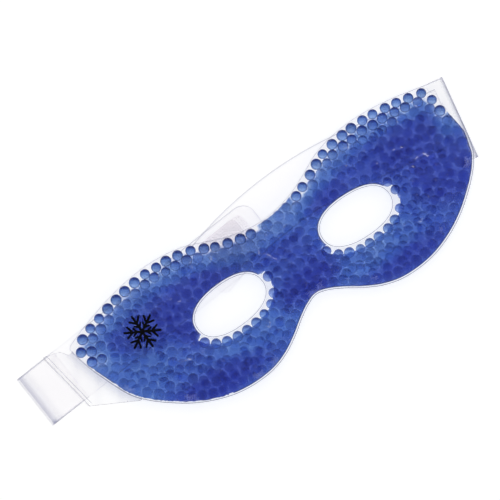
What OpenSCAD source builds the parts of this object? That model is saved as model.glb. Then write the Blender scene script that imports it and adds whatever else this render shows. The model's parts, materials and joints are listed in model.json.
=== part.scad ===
// Gel bead eye mask: a clear film pouch with two eye openings, filled with
// hydrated gel beads, held on by a two-tail strap with a hook-and-loop closure.
// Frame: X along the mask, Y towards the brow, Z out of the printed front face.
// Left is -X and right is +X.
// Origin: on the resting plane, on the symmetry plane, level with the eye openings.

/* [Mask outline] */
// Half length of the mask, from the symmetry plane to the temple corner
half_len = 108; // [104:0.5:112]
// Height of the brow crest above the eye openings' centre line
brow_y = 37.5; // [36:0.5:39]
// Height of the notch above the nose bridge
notch_y = 23.5; // [22:0.5:25]
// Depth of the cheek lobe below the eye openings' centre line
cheek_y = 36.5; // [35.5:0.5:38]
// Depth of the nose arch below the eye openings' centre line
nose_y = 19; // [18:0.5:20]

/* [Eye openings] */
// Distance from the symmetry plane to an eye opening's centre
eye_x = 35.5; // [34.5:0.5:36.5]
// Half width of an eye opening
eye_half_width = 18.3; // [17:0.1:18.8]
// Half height of an eye opening
eye_half_height = 10.3; // [9.5:0.1:10.8]
// Downward tilt of each opening's outer end, in degrees
eye_tilt = 1.7; // [0:0.1:4]

/* [Film and seals] */
// Thickness of one sheet of film
film_thick = 0.3; // [0.25:0.05:0.35]
// Width of the welded rim before the film lifts off
rim_width = 1.9; // [1.7:0.1:2.1]
// Height of the seam between the back and front sheets
seam_z = 4.9; // [4.9:0.1:5.2]
// Height of the domed front above the resting plane
top_z = 13; // [13:0.1:13.6]
// Height of the back sheet where the strap passes under it
back_z = 2.5; // [2.5:0.1:2.6]

/* [Gel filling] */
// Spacing of the beads
bead_pitch = 5.15; // [5.1:0.05:5.4]
// Largest bead radius
bead_r_max = 2.45; // [2.2:0.05:2.45]
// Smallest bead radius
bead_r_min = 2.15; // [1.9:0.05:2.2]
// Seed for the spread of bead radii
bead_seed = 7; // [1:1:99]

/* [Strap] */
// Width of the strap
strap_width = 27; // [25:0.5:28]
// Thickness of the strap
strap_thick = 0.45; // [0.35:0.05:0.45]
// Thickness of an end tab
tab_thick = 0.4; // [0.3:0.05:0.4]
// Length of the left tail from its fold
left_tail_len = 133.5; // [110:0.5:133.5]
// Length of the hook patch
hook_len = 22; // [18:1:24]
// Length of the loop patch
loop_len = 21; // [18:1:22]
// Width of both patches
patch_width = 21; // [16:1:23]

/* [Printed mark] */
// Width of the printed snowflake
mark_width = 17; // [12:1:20]
// Width of the snowflake's lines
mark_line = 1.3; // [1:0.1:1.6]

/* [Hidden] */
$fn = 48;

film_blue = [0.86, 0.90, 0.97, 0.35];
clear = [0.93, 0.94, 0.96, 0.35];
gel_blue = [0.16, 0.26, 0.70];
pool_blue = [0.13, 0.18, 0.60];
hook_grey = [0.85, 0.86, 0.88];
loop_grey = [0.92, 0.92, 0.93];
ink = [0.02, 0.02, 0.03];

// How far a cutter runs past the faces it cuts.
overcut = 1;

// ---- Outline of the pouch ----

// Stretch of the outline tables from the sizes they are laid out at.
length_scale = half_len / 108;
brow_scale = brow_y / 37.5;
cheek_scale = cheek_y / 36.5;

// Runs of the half outline as [x from the symmetry plane, y], in order from
// the brow notch over the temple and cheek to the nose arch.
NOTCH = [[0, notch_y], [9.2, notch_y + 0.9], [18.4, notch_y + 3.2]];
BROW = [[27, 30.2], [36, 34.2], [46, 36.6], [57.5, 37.5], [70, 36.7], [83, 34.4]];
LEFT_CORNER = [[96, 31], [105.6, 27.8], [107.6, 26.4], [107.6, 23.6]];
LEFT_TEMPLE = [[105.4, 13.8], [103, 6.9], [100.4, 0], [96.9, -7.6], [91.6, -14.2]];
// On the right the film turns under at the fold, so the temple corner is cut back.
RIGHT_CORNER = [[95.5, 31.1], [100.4, 29.7], [102.1, 28.4], [102, 25.6]];
RIGHT_TEMPLE = [[99.3, 13.8], [97.95, 6.9], [96.6, 0], [94.6, -7.6], [91, -14.2]];
CHEEK = [[83.6, -21.3], [74.7, -27.6], [65, -32.4], [55.3, -35.4], [45.6, -36.5],
         [35.8, -35.9], [27, -33.2], [19.2, -29]];
NOSE = [[12.2, -24.3], [5.8, -nose_y - 1.7], [0, -nose_y]];

function scale_y(points, factor) = [for (p = points) [p[0], p[1] * factor]];
function half_outline(corner, temple) =
    [for (p = concat(NOTCH, scale_y(concat(BROW, corner), brow_scale), temple,
                     scale_y(CHEEK, cheek_scale), NOSE))
        [p[0] * length_scale, p[1]]];

// Catmull-Rom curve from start to end, at a fraction t of the way.
function spline(before, start, end, after, t) =
    0.5 * (2 * start + (end - before) * t
           + (2 * before - 5 * start + 4 * end - after) * t * t
           + (3 * start - before - 3 * end + after) * t * t * t);
function smooth(loop, steps) = let (n = len(loop))
    [for (i = [0:n - 1]) for (j = [0:steps - 1])
        spline(loop[(i + n - 1) % n], loop[i], loop[(i + 1) % n], loop[(i + 2) % n], j / steps)];

LEFT_HALF = half_outline(LEFT_CORNER, LEFT_TEMPLE);
// Clockwise loop: the right half, then the left half backwards without its shared ends.
RIM = smooth(concat(half_outline(RIGHT_CORNER, RIGHT_TEMPLE),
                    [for (i = [len(LEFT_HALF) - 2:-1:1]) [-LEFT_HALF[i][0], LEFT_HALF[i][1]]]), 2);

// Superellipse of one eye opening, grown by a margin; side is 1 (right) or -1 (left).
eye_points = 32;
eye_exponent = 2.3;
function signed_pow(value, power) = sign(value) * pow(abs(value), power);
function eye(side, margin) =
    [for (i = [0:eye_points - 1]) let (
        angle = i * 360 / eye_points,
        x = (eye_half_width + margin) * signed_pow(cos(angle), 2 / eye_exponent),
        y = (eye_half_height + margin) * signed_pow(sin(angle), 2 / eye_exponent),
        turn = -side * eye_tilt)
        [side * eye_x + x * cos(turn) - y * sin(turn), x * sin(turn) + y * cos(turn)]];

function segment_dist(p, start, end) =
    let (span = end - start, t = max(0, min(1, ((p - start) * span) / (span * span))))
    norm(p - start - t * span);
function edge_dist(p, loop) = let (n = len(loop))
    min([for (i = [0:n - 1]) segment_dist(p, loop[i], loop[(i + 1) % n])]);
// True where a ray from p towards +X crosses the loop an odd number of times.
function inside(p, loop) = let (n = len(loop))
    len([for (i = [0:n - 1]) let (start = loop[i], end = loop[(i + 1) % n])
        if ((start[1] > p[1]) != (end[1] > p[1])
            && p[0] < start[0] + (end[0] - start[0]) * (p[1] - start[1]) / (end[1] - start[1]))
            1]) % 2 == 1;

// Parallel curve inside a clockwise loop; points that fall too near its edge are dropped.
function inset(loop, dist) = dist == 0 ? loop : let (n = len(loop))
    [for (i = [0:n - 1]) let (
        chord = loop[(i + 1) % n] - loop[(i + n - 1) % n],
        tangent = chord / norm(chord),
        moved = loop[i] + dist * [tangent[1], -tangent[0]])
        if (edge_dist(moved, loop) > dist * 0.985 - 0.01) moved];

// ---- Film ----

// Slab of the pouch's plan, set in from the rim and clear of the eye openings.
module plan_slab(rim_inset, eye_gap, z_low, z_high) {
    difference() {
        translate([0, 0, z_low]) linear_extrude(z_high - z_low) polygon(inset(RIM, rim_inset));
        for (side = [-1, 1])
            translate([0, 0, z_low - overcut])
                linear_extrude(z_high - z_low + 2 * overcut) polygon(eye(side, eye_gap));
    }
}

// Keeps the part of its children on one side of the symmetry plane.
module half(side) {
    reach = 200;
    intersection() {
        children();
        translate([side > 0 ? 0 : -reach, -reach / 2, -reach / 4])
            cube([reach, reach, reach / 2]);
    }
}

// Width of the weld round an eye opening.
eye_weld = 1.6;

// Terraces of the domed front: [inset from rim, gap round eyes, top height].
FRONT_STEPS = [[rim_width, eye_weld, top_z - 4.4],
               [rim_width + 1.7, 3.2, top_z - 1.7],
               [rim_width + 4.1, 5.2, top_z]];

module front_sheet() {
    difference() {
        union() {
            plan_slab(0, 0, seam_z, seam_z + film_thick);
            for (step = FRONT_STEPS) plan_slab(step[0], step[1], seam_z, step[2]);
        }
        for (step = FRONT_STEPS)
            plan_slab(step[0] + film_thick, step[1] + film_thick,
                      seam_z - overcut, step[2] - film_thick);
    }
}

// Inset of the sag in the back sheet, from both the rim and the eyes.
sag_inset = 8;

// Cheek side of the strap, where the back sheet sags to the resting plane.
module sag_zone(margin) {
    half_span = 120;
    end_y = -4.2 - margin;
    translate([0, 0, -20]) linear_extrude(40)
        polygon([[-half_span, -60], [half_span, -60],
                 [half_span, end_y], [0, 3 - margin], [-half_span, end_y]]);
}

// Part of the sag zone's slab, inset equally from rim and eyes.
module sag_slab(edge_inset, margin, z_low, z_high) {
    intersection() {
        plan_slab(edge_inset, edge_inset, z_low, z_high);
        sag_zone(margin);
    }
}

module back_sheet() {
    difference() {
        union() {
            plan_slab(0, 0, seam_z - film_thick, seam_z);
            plan_slab(rim_width, eye_weld, back_z, seam_z);
            sag_slab(sag_inset, 0, 0, seam_z - 1);
        }
        plan_slab(rim_width + film_thick, eye_weld + film_thick,
                  back_z + film_thick, seam_z + overcut);
        sag_slab(sag_inset + film_thick, film_thick, film_thick, seam_z - 0.5);
    }
}

module front_film_left() { color(film_blue) half(-1) front_sheet(); }
module front_film_right() { color(film_blue) half(1) front_sheet(); }
module back_film_left() { color(film_blue) half(-1) back_sheet(); }
module back_film_right() { color(film_blue) half(1) back_sheet(); }

// ---- Gel filling ----

lower_bead_z = seam_z + 1;
lower_bead_gap = bead_r_max + 0.1;
upper_bead_gap = 2.35;

// Centres of one close-packed layer on one side, kept clear of the rim and the eye.
function layer(side, shift, z, rim_gap, eye_gap) =
    let (row_pitch = bead_pitch * sqrt(3) / 2, opening = eye(side, 0))
    [for (j = [-9:9]) for (i = [0:22]) let (
        x = bead_pitch / 2 + shift[0] + bead_pitch * (i + (abs(j) % 2) / 2),
        p = [side * x, shift[1] + j * row_pitch])
        if (inside(p, RIM) && edge_dist(p, RIM) > rim_gap
            && edge_dist(p, opening) > eye_gap && !inside(p, opening))
            [p[0], p[1], z]];

// Two layers, the upper one seated in the hollows of the lower.
module beads(side) {
    crown = FRONT_STEPS[2];
    centres = concat(
        layer(side, [0, 0], lower_bead_z,
              rim_width + film_thick + lower_bead_gap, eye_weld + film_thick + lower_bead_gap),
        layer(side, [bead_pitch / 2, bead_pitch / (2 * sqrt(3))],
              lower_bead_z + bead_pitch * sqrt(2 / 3),
              crown[0] + film_thick + upper_bead_gap, crown[1] + film_thick + upper_bead_gap));
    radii = rands(bead_r_min, bead_r_max, len(centres), bead_seed);
    for (i = [0:len(centres) - 1])
        translate(centres[i]) sphere(r = radii[i], $fn = 32);
}

// Layer of carrier gel on the back sheet, with a deeper part in the sag.
module pool() {
    floor_gap = 0.05;
    wall_gap = film_thick + 0.4;
    eye_gap = 2.4;
    strap_gap = 0.8;
    thick = 0.5;
    z_low = back_z + film_thick + floor_gap;
    plan_slab(rim_width + wall_gap, eye_gap, z_low, z_low + thick);
    sag_slab(sag_inset + wall_gap, strap_gap, film_thick + floor_gap, z_low + thick / 2);
}

module gel_beads_left() { color(gel_blue) beads(-1); }
module gel_beads_right() { color(gel_blue) beads(1); }
module carrier_gel_left() { color(pool_blue) half(-1) pool(); }
module carrier_gel_right() { color(pool_blue) half(1) pool(); }

// ---- Strap and tabs ----

// Underside heights, from the resting plane up.
patch_thick = 0.7;
right_z = 0;
loop_z = right_z + strap_thick;
hook_z = loop_z + patch_thick;
left_z = hook_z + patch_thick;
tab_z = seam_z - film_thick - tab_thick;
root_z = tab_z - strap_thick;
flap_z = right_z + strap_thick;

// Fold lines: a point on each in plan and its turn from Y in degrees.
// Both lean outwards at the brow.
left_fold = [-134.2, 15.4];
left_lean = 3;
right_fold = [99.58, 9.95];
right_lean = -10.8;

// Radius of each fold at mid-thickness and the height of its axis.
left_fold_r = (root_z - left_z) / 2;
left_axis_z = left_z + strap_thick / 2 + left_fold_r;
right_fold_r = (tab_z - flap_z) / 2;
right_axis_z = flap_z + tab_thick / 2 + right_fold_r;

// Frames with their origin on a fold and Y along it.
module left_frame(z) {
    translate([left_fold[0], left_fold[1], z]) rotate([0, 0, left_lean]) children();
}
module right_frame(z) {
    translate([right_fold[0], right_fold[1], z]) rotate([0, 0, right_lean]) children();
}

// Points of an arc in equal steps, both ends included.
function arc(centre, radius, from, to, steps) =
    [for (i = [0:steps]) let (angle = from + (to - from) * i / steps)
        centre + radius * [cos(angle), sin(angle)]];

// Half tube round a fold, opening towards +X.
module fold_tube(radius, thick, width) {
    rotate([90, 0, 0]) difference() {
        cylinder(r = radius + thick / 2, h = width, center = true);
        cylinder(r = radius - thick / 2, h = width + 2 * overcut, center = true);
        translate([0, -radius - thick, -width])
            cube([radius + thick, 2 * (radius + thick), 2 * width]);
    }
}

// Trims a tab resting on z = 0 so that it only just laps under the welded rim.
module trim_at_rim() {
    difference() {
        children();
        translate([0, 0, -overcut])
            linear_extrude(tab_thick + 2 * overcut) polygon(inset(RIM, rim_width - 0.3));
    }
}

// Tapered tab welded under the rim at the left temple, lying flat.
LEFT_TAB = [[-120.4, 30.4], [-115.8, -0.4], [-94, -12.5],
            [-90, 10], [-104, 30.6], [-108.6, 28.8]];
module left_tab() {
    color(clear) translate([0, 0, tab_z]) trim_at_rim()
        linear_extrude(tab_thick) polygon(LEFT_TAB);
}

// The strap from its weld under the tab out to the fold.
module left_strap_root() {
    inner_end = 20.5;
    outer_end = left_fold_r + 0.15;
    color(clear) left_frame(root_z)
        translate([outer_end, -strap_width / 2, 0])
            cube([inner_end - outer_end, strap_width, strap_thick]);
}

// The left fold and the long tail under it, with a rounded free end.
module left_strap_tail() {
    corner_r = 7;
    edge = strap_width / 2;
    corner_x = left_tail_len - corner_r;
    color(clear) {
        left_frame(left_axis_z) fold_tube(left_fold_r, strap_thick, strap_width);
        left_frame(left_z) linear_extrude(strap_thick)
            polygon(concat([[0, -edge]],
                           arc([corner_x, -edge + corner_r], corner_r, -90, 0, 6),
                           arc([corner_x, edge - corner_r], corner_r, 0, 90, 6),
                           [[0, edge]]));
    }
}

// Margin of the right tab welded under the rim, inside the fold.
module right_tab_root() {
    color(clear) translate([0, 0, tab_z]) trim_at_rim()
        right_frame(0) translate([-14, -20, 0]) cube([12.7, 40, tab_thick]);
}

// The right tab from its fold, tucked back under the pouch and tapering to the strap.
module right_tab_flap() {
    fold_width = 41;
    edge = fold_width / 2;
    color(clear) {
        right_frame(right_axis_z)
            mirror([1, 0, 0]) fold_tube(right_fold_r, tab_thick, fold_width);
        right_frame(flap_z) linear_extrude(tab_thick)
            polygon([[0, -edge], [0, edge], [-4, edge], [-15, 18.6], [-15, -9], [-4, -16.5]]);
    }
}

// Arched strap: a straight run from the right tab, then an arc to the closure.
module right_band() {
    start = [-3, 3.27];
    run = 49;
    arch_r = 176;
    sweep = 29;
    corner_r = 4;
    edge = strap_width / 2;
    centre = [-run, -arch_r];
    end_dir = [-sin(sweep), cos(sweep)];
    inner_corner = centre + (arch_r - edge + corner_r) * end_dir;
    outer_corner = centre + (arch_r + edge - corner_r) * end_dir;
    right_frame(right_z) translate(start) linear_extrude(strap_thick)
        polygon(concat([[0, -edge]],
                       arc(centre, arch_r - edge, 90, 90 + sweep, 14),
                       arc(inner_corner, corner_r, sweep + 255, sweep + 195, 4),
                       arc(outer_corner, corner_r, sweep + 165, sweep + 105, 4),
                       arc(centre, arch_r + edge, 90 + sweep, 90, 14),
                       [[0, edge]]));
}

// The band is split at the symmetry plane, like the pouch.
module right_strap() { color(clear) half(1) right_band(); }
module right_strap_tip() { color(clear) half(-1) right_band(); }

// Rounded patch in line with the left tail, end_gap short of the tail's free end.
module closure_patch(z, length, end_gap) {
    corner_r = 3;
    // Corners: [x sign, y sign, start angle].
    corners = [[1, 1, 0], [-1, 1, 90], [-1, -1, 180], [1, -1, 270]];
    left_frame(z) translate([left_tail_len - end_gap - length / 2, 0, 0])
        linear_extrude(patch_thick)
            polygon([for (c = corners)
                for (p = arc([c[0] * (length / 2 - corner_r), c[1] * (patch_width / 2 - corner_r)],
                             corner_r, c[2], c[2] + 90, 5)) p]);
}

// Hooks under the left tail, loops on top of the right strap.
module hook_patch() { color(hook_grey) closure_patch(hook_z, hook_len, 6); }
module loop_patch() { color(loop_grey) closure_patch(loop_z, loop_len, 9.5); }

// ---- Printed mark ----

// One line of the mark, from the origin along +Y.
module mark_stroke(length) {
    translate([-mark_line / 2, 0, 0]) cube([mark_line, length, 0.06]);
}

// A plain six-armed snowflake in ink on the left lobe.
module printed_mark() {
    color(ink) translate([-75, 13.5, top_z])
        for (i = [0:5]) rotate([0, 0, 60 * i]) {
            mark_stroke(mark_width / 2);
            for (side = [-1, 1])
                translate([0, mark_width * 0.27, 0]) rotate([0, 0, 45 * side])
                    mark_stroke(mark_width * 0.17);
        }
}

front_film_left();
front_film_right();
back_film_left();
back_film_right();
gel_beads_left();
gel_beads_right();
carrier_gel_left();
carrier_gel_right();
left_tab();
left_strap_root();
left_strap_tail();
right_tab_root();
right_tab_flap();
right_strap();
right_strap_tip();
hook_patch();
loop_patch();
printed_mark();
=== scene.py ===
import json
import math

import bpy
import numpy as np
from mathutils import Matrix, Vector
from mathutils.bvhtree import BVHTree
from mathutils.geometry import delaunay_2d_cdt

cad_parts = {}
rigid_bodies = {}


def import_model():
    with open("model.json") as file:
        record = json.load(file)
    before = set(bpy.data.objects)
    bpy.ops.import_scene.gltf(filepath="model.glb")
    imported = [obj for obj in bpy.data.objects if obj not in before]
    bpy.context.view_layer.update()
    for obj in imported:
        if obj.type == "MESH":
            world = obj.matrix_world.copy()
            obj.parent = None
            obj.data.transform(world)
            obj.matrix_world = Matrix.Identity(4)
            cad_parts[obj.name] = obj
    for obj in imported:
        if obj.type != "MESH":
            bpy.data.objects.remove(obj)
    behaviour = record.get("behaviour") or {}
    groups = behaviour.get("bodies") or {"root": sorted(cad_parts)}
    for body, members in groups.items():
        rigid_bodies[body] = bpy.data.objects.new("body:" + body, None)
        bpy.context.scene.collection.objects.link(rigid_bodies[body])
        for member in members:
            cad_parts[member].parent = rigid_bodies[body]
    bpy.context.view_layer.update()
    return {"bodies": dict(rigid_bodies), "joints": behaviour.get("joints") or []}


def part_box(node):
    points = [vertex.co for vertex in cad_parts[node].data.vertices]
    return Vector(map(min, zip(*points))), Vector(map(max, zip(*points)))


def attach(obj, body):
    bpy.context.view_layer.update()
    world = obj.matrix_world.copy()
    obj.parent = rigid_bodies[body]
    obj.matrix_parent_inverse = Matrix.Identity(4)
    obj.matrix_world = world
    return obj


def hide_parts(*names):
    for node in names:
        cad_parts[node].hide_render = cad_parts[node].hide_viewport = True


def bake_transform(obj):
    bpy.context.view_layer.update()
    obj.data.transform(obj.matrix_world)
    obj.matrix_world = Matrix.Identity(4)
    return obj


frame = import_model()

MM = 0.001
rng = np.random.default_rng(41)


def zbox(node):
    lo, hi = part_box(node)
    return lo[2] / MM, hi[2] / MM


SEAM = zbox("front_film_left")[0]
TOP = zbox("front_film_left")[1]
RIGHT_Z, RIGHT_ZT = zbox("right_strap")
LEFT_Z = zbox("left_strap_tail")[0]
ROOT_Z, ROOT_ZT = zbox("left_strap_root")
TAB_Z, TAB_ZT = zbox("left_tab")
HOOK_Z, HOOK_ZT = zbox("hook_patch")
LOOP_Z, LOOP_ZT = zbox("loop_patch")
STRAP_T = RIGHT_ZT - RIGHT_Z
TAB_T = TAB_ZT - TAB_Z
BACK_Z = LEFT_Z + STRAP_T + 0.25
JOINT = {j["name"]: j for j in frame["joints"]}
LF = np.array(JOINT["left_strap_fold"]["pos_m"]) / MM
LFA = np.array(JOINT["left_strap_fold"]["axis"])
RF = np.array(JOINT["right_strap_fold"]["pos_m"]) / MM
RFA = np.array(JOINT["right_strap_fold"]["axis"])
LEFT_LEAN = math.atan2(-LFA[0], LFA[1])
RIGHT_LEAN = math.atan2(RFA[0], -RFA[1])


def smoothstep(x, a, b):
    t = np.clip((np.asarray(x, float) - a) / (b - a), 0, 1)
    return t * t * (3 - 2 * t)


# ---------------------------------------------------------------- plan of the pouch
HALF = [(0, 23.5), (9.2, 24.4), (18.4, 26.7), (27, 30.2), (36, 34.2), (46, 36.6), (57.5, 37.5), (70, 36.7),
        (83, 34.4), (96, 31), (105.6, 27.8), (107.6, 26.4), (107.6, 23.6), (105.4, 13.8), (103, 6.9), (100.4, 0),
        (96.9, -7.6), (91.6, -14.2), (83.6, -21.3), (74.7, -27.6), (65, -32.4), (55.3, -35.4), (45.6, -36.5),
        (35.8, -35.9), (27, -33.2), (19.2, -29), (12.2, -24.3), (5.8, -20.7), (0, -19)]
# the right temple corner ends at the fold line, where the film turns under
RIGHT = HALF[:9] + [(95.5, 31.2), (101.0, 30.0), (104.3, 28.9), (104.5, 27.2), (103.8, 24.0), (101.9, 13.8), (100.6, 6.9), (99.2, 0),
                    (96.8, -7.2), (91.6, -14.2)] + HALF[18:]
LOOP = RIGHT + [(-x, y) for x, y in HALF[-2:0:-1]]


def catmull(P, k):
    P = np.array(P, float)
    out = []
    a, b, c, d = np.roll(P, 1, 0), P, np.roll(P, -1, 0), np.roll(P, -2, 0)
    for j in range(k):
        t = j / k
        out.append(0.5 * (2 * b + (c - a) * t + (2 * a - 5 * b + 4 * c - d) * t * t + (3 * b - a - 3 * c + d) * t ** 3))
    return np.stack(out, 1).reshape(-1, 2)


def resample(P, step):
    Q = np.vstack([P, P[:1]])
    s = np.r_[0, np.cumsum(np.linalg.norm(np.diff(Q, axis=0), axis=1))]
    n = int(round(s[-1] / step))
    u = np.linspace(0, s[-1], n, endpoint=False)
    return np.stack([np.interp(u, s, Q[:, 0]), np.interp(u, s, Q[:, 1])], 1)


RIM = resample(catmull(LOOP, 12), 1.1)


def eye_loop(side, grow, n=64):
    w = np.linspace(0, 2 * math.pi, n, endpoint=False)
    e = 2 / 2.3
    x = (18.3 + grow) * np.sign(np.cos(w)) * np.abs(np.cos(w)) ** e
    y = (10.3 + grow) * np.sign(np.sin(w)) * np.abs(np.sin(w)) ** e
    q = math.radians(-side * 1.7)
    return np.stack([side * 35.5 + x * math.cos(q) - y * math.sin(q), x * math.sin(q) + y * math.cos(q)], 1)


EYES = [resample(eye_loop(s, 0, 256), 1.05) for s in (-1, 1)]


def dist_to(P, poly):
    out = np.empty(len(P))
    A, B = poly, np.roll(poly, -1, 0)
    V = B - A
    L = (V * V).sum(1)
    for i in range(0, len(P), 2000):
        W = P[i:i + 2000, None, :] - A[None]
        t = np.clip((W * V).sum(2) / L, 0, 1)
        D = W - t[..., None] * V
        out[i:i + 2000] = np.sqrt((D * D).sum(2).min(1))
    return out


def inside(P, poly):
    A, B = poly, np.roll(poly, -1, 0)
    out = np.zeros(len(P), bool)
    for i in range(0, len(P), 2000):
        q = P[i:i + 2000]
        up = (A[None, :, 1] > q[:, None, 1]) != (B[None, :, 1] > q[:, None, 1])
        dy = np.where(B[:, 1] == A[:, 1], 1e-9, B[:, 1] - A[:, 1])
        xs = A[None, :, 0] + (B[:, 0] - A[:, 0])[None] * (q[:, None, 1] - A[None, :, 1]) / dy[None]
        out[i:i + 2000] = (up & (q[:, None, 0] < xs)).sum(1) % 2 == 1
    return out


def d_rim(P):
    return np.where(inside(P, RIM), 1, -1) * dist_to(P, RIM)


def d_eye(P):
    out = np.full(len(P), 1e9)
    for e in EYES:
        out = np.minimum(out, np.where(inside(P, e), -1, 1) * dist_to(P, e))
    return out


def w_rim(P):
    """Width of the clear weld along the rim."""
    x, y = P[:, 0], P[:, 1]
    low = 0.92 - 0.40 * (1 - smoothstep(x, -66, -52)) * (1 - smoothstep(y, -4, 4))
    return low - 0.47 * smoothstep(y, 6, 20)


# where the filling ends at the right: the film runs on clear to the fold line (y, x)
END_Y = [-40, -14, -9, -5.6, 3.2, 8, 13.8, 22, 28.4, 33]
END_X = [120, 99, 96.6, 96.4, 98.9, 98.5, 97.7, 97.8, 96.0, 93.8]
W_EYE = 0.95


def outer_depth(P):
    end = (np.interp(P[:, 1], END_Y, END_X) - P[:, 0]) * 0.985
    return np.minimum(d_rim(P) - w_rim(P), end)


def depth(P):
    """Distance inside the welds; negative on the flanges."""
    return np.minimum(outer_depth(P), d_eye(P) - W_EYE)


def back_level(P):
    x, y = P[:, 0], P[:, 1]
    edge = 3 - 0.06 * np.abs(x)
    return 0.12 + (BACK_Z - 0.12) * smoothstep(y - edge, -9, -0.5)


def z_back0(P, d):
    t = np.clip(d, 0, 5.0) / 5.0
    B = back_level(P)
    return SEAM - 0.02 - (SEAM - 0.02 - B) * np.sqrt(1 - (1 - t) ** 2)


def dome_reach(P):
    return 9 + 11 * smoothstep(P[:, 1], 8, 20)


def z_ceiling(P, d):
    D = dome_reach(P)
    t = np.clip(d, 0, None) / D
    t = np.clip(t, 0, 1)
    return SEAM + (TOP - 0.15 - SEAM) * np.sqrt(1 - (1 - t) ** 2)


# wetness: where liquid gel fills the gaps between the beads (x, y, radius x, radius y, strength)
DRY = [(34, -18.5, 11, 4, 0.25), (-32, -19, 9, 4, 0.2), (-12, 21, 7, 4, 0.45), (-96, 17, 9, 9, 0.35), (-70, 19, 22, 7, 0.40)]


def wetness(P):
    x, y = P[:, 0], P[:, 1]
    w = 0.95 + 0.05 * np.sin(0.31 * x + 0.17 * y) * np.sin(0.23 * y - 0.11 * x + 1.3)
    for cx, cy, rx, ry, s in DRY:
        w *= 1 - s * np.exp(-(((x - cx) / rx) ** 2 + ((y - cy) / ry) ** 2))
    d = outer_depth(P)
    reach = 9 + 1.5 * np.sin(x * 0.11 + 0.6) - 5 * np.exp(-(x / 16) ** 2) + 6 * np.exp(-((x - 62) / 24) ** 2) + 2 * np.exp(-((x + 70) / 24) ** 2)
    top = smoothstep(y, 6, 17)
    return np.clip(w * (1 - 0.96 * top * (1 - smoothstep(d, 0.45 * reach, reach))), 0, 1)


EYE_C = np.array([[-35.5, 0.0], [35.5, 0.0]])


def gel_fill(P):
    """Share of the gap between the sheets that liquid gel fills: none along the brow and below the eyes."""
    d = depth(P)
    wp = wetness(P)
    f = np.clip(wp * 1.5, 0, 1)
    near = 1 - smoothstep(d, 0.5, 3.0)
    f = np.where(wp > 0.25, np.maximum(f, near * 0.9), f)
    notch = np.exp(-((P[:, 0] - 6) / 9) ** 4) * smoothstep(P[:, 1], 4, 10)
    f = np.maximum(f, 0.92 * notch * smoothstep(d, -0.1, 0.5))
    de = d_eye(P) - W_EYE
    for c_ in EYE_C:
        q = (P - c_) / np.array([18.3, 10.3])
        q /= np.linalg.norm(q, axis=1)[:, None] + 1e-9
        s_ = q @ np.array([0.30, -0.954])
        near_eye = np.linalg.norm((P - c_) / np.array([1.0, 0.8]), axis=1) < 28
        f = f * (1 - near_eye * smoothstep(s_, -0.30, 0.10) * (1 - smoothstep(de, 1.9, 3.3)))
    return f


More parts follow.
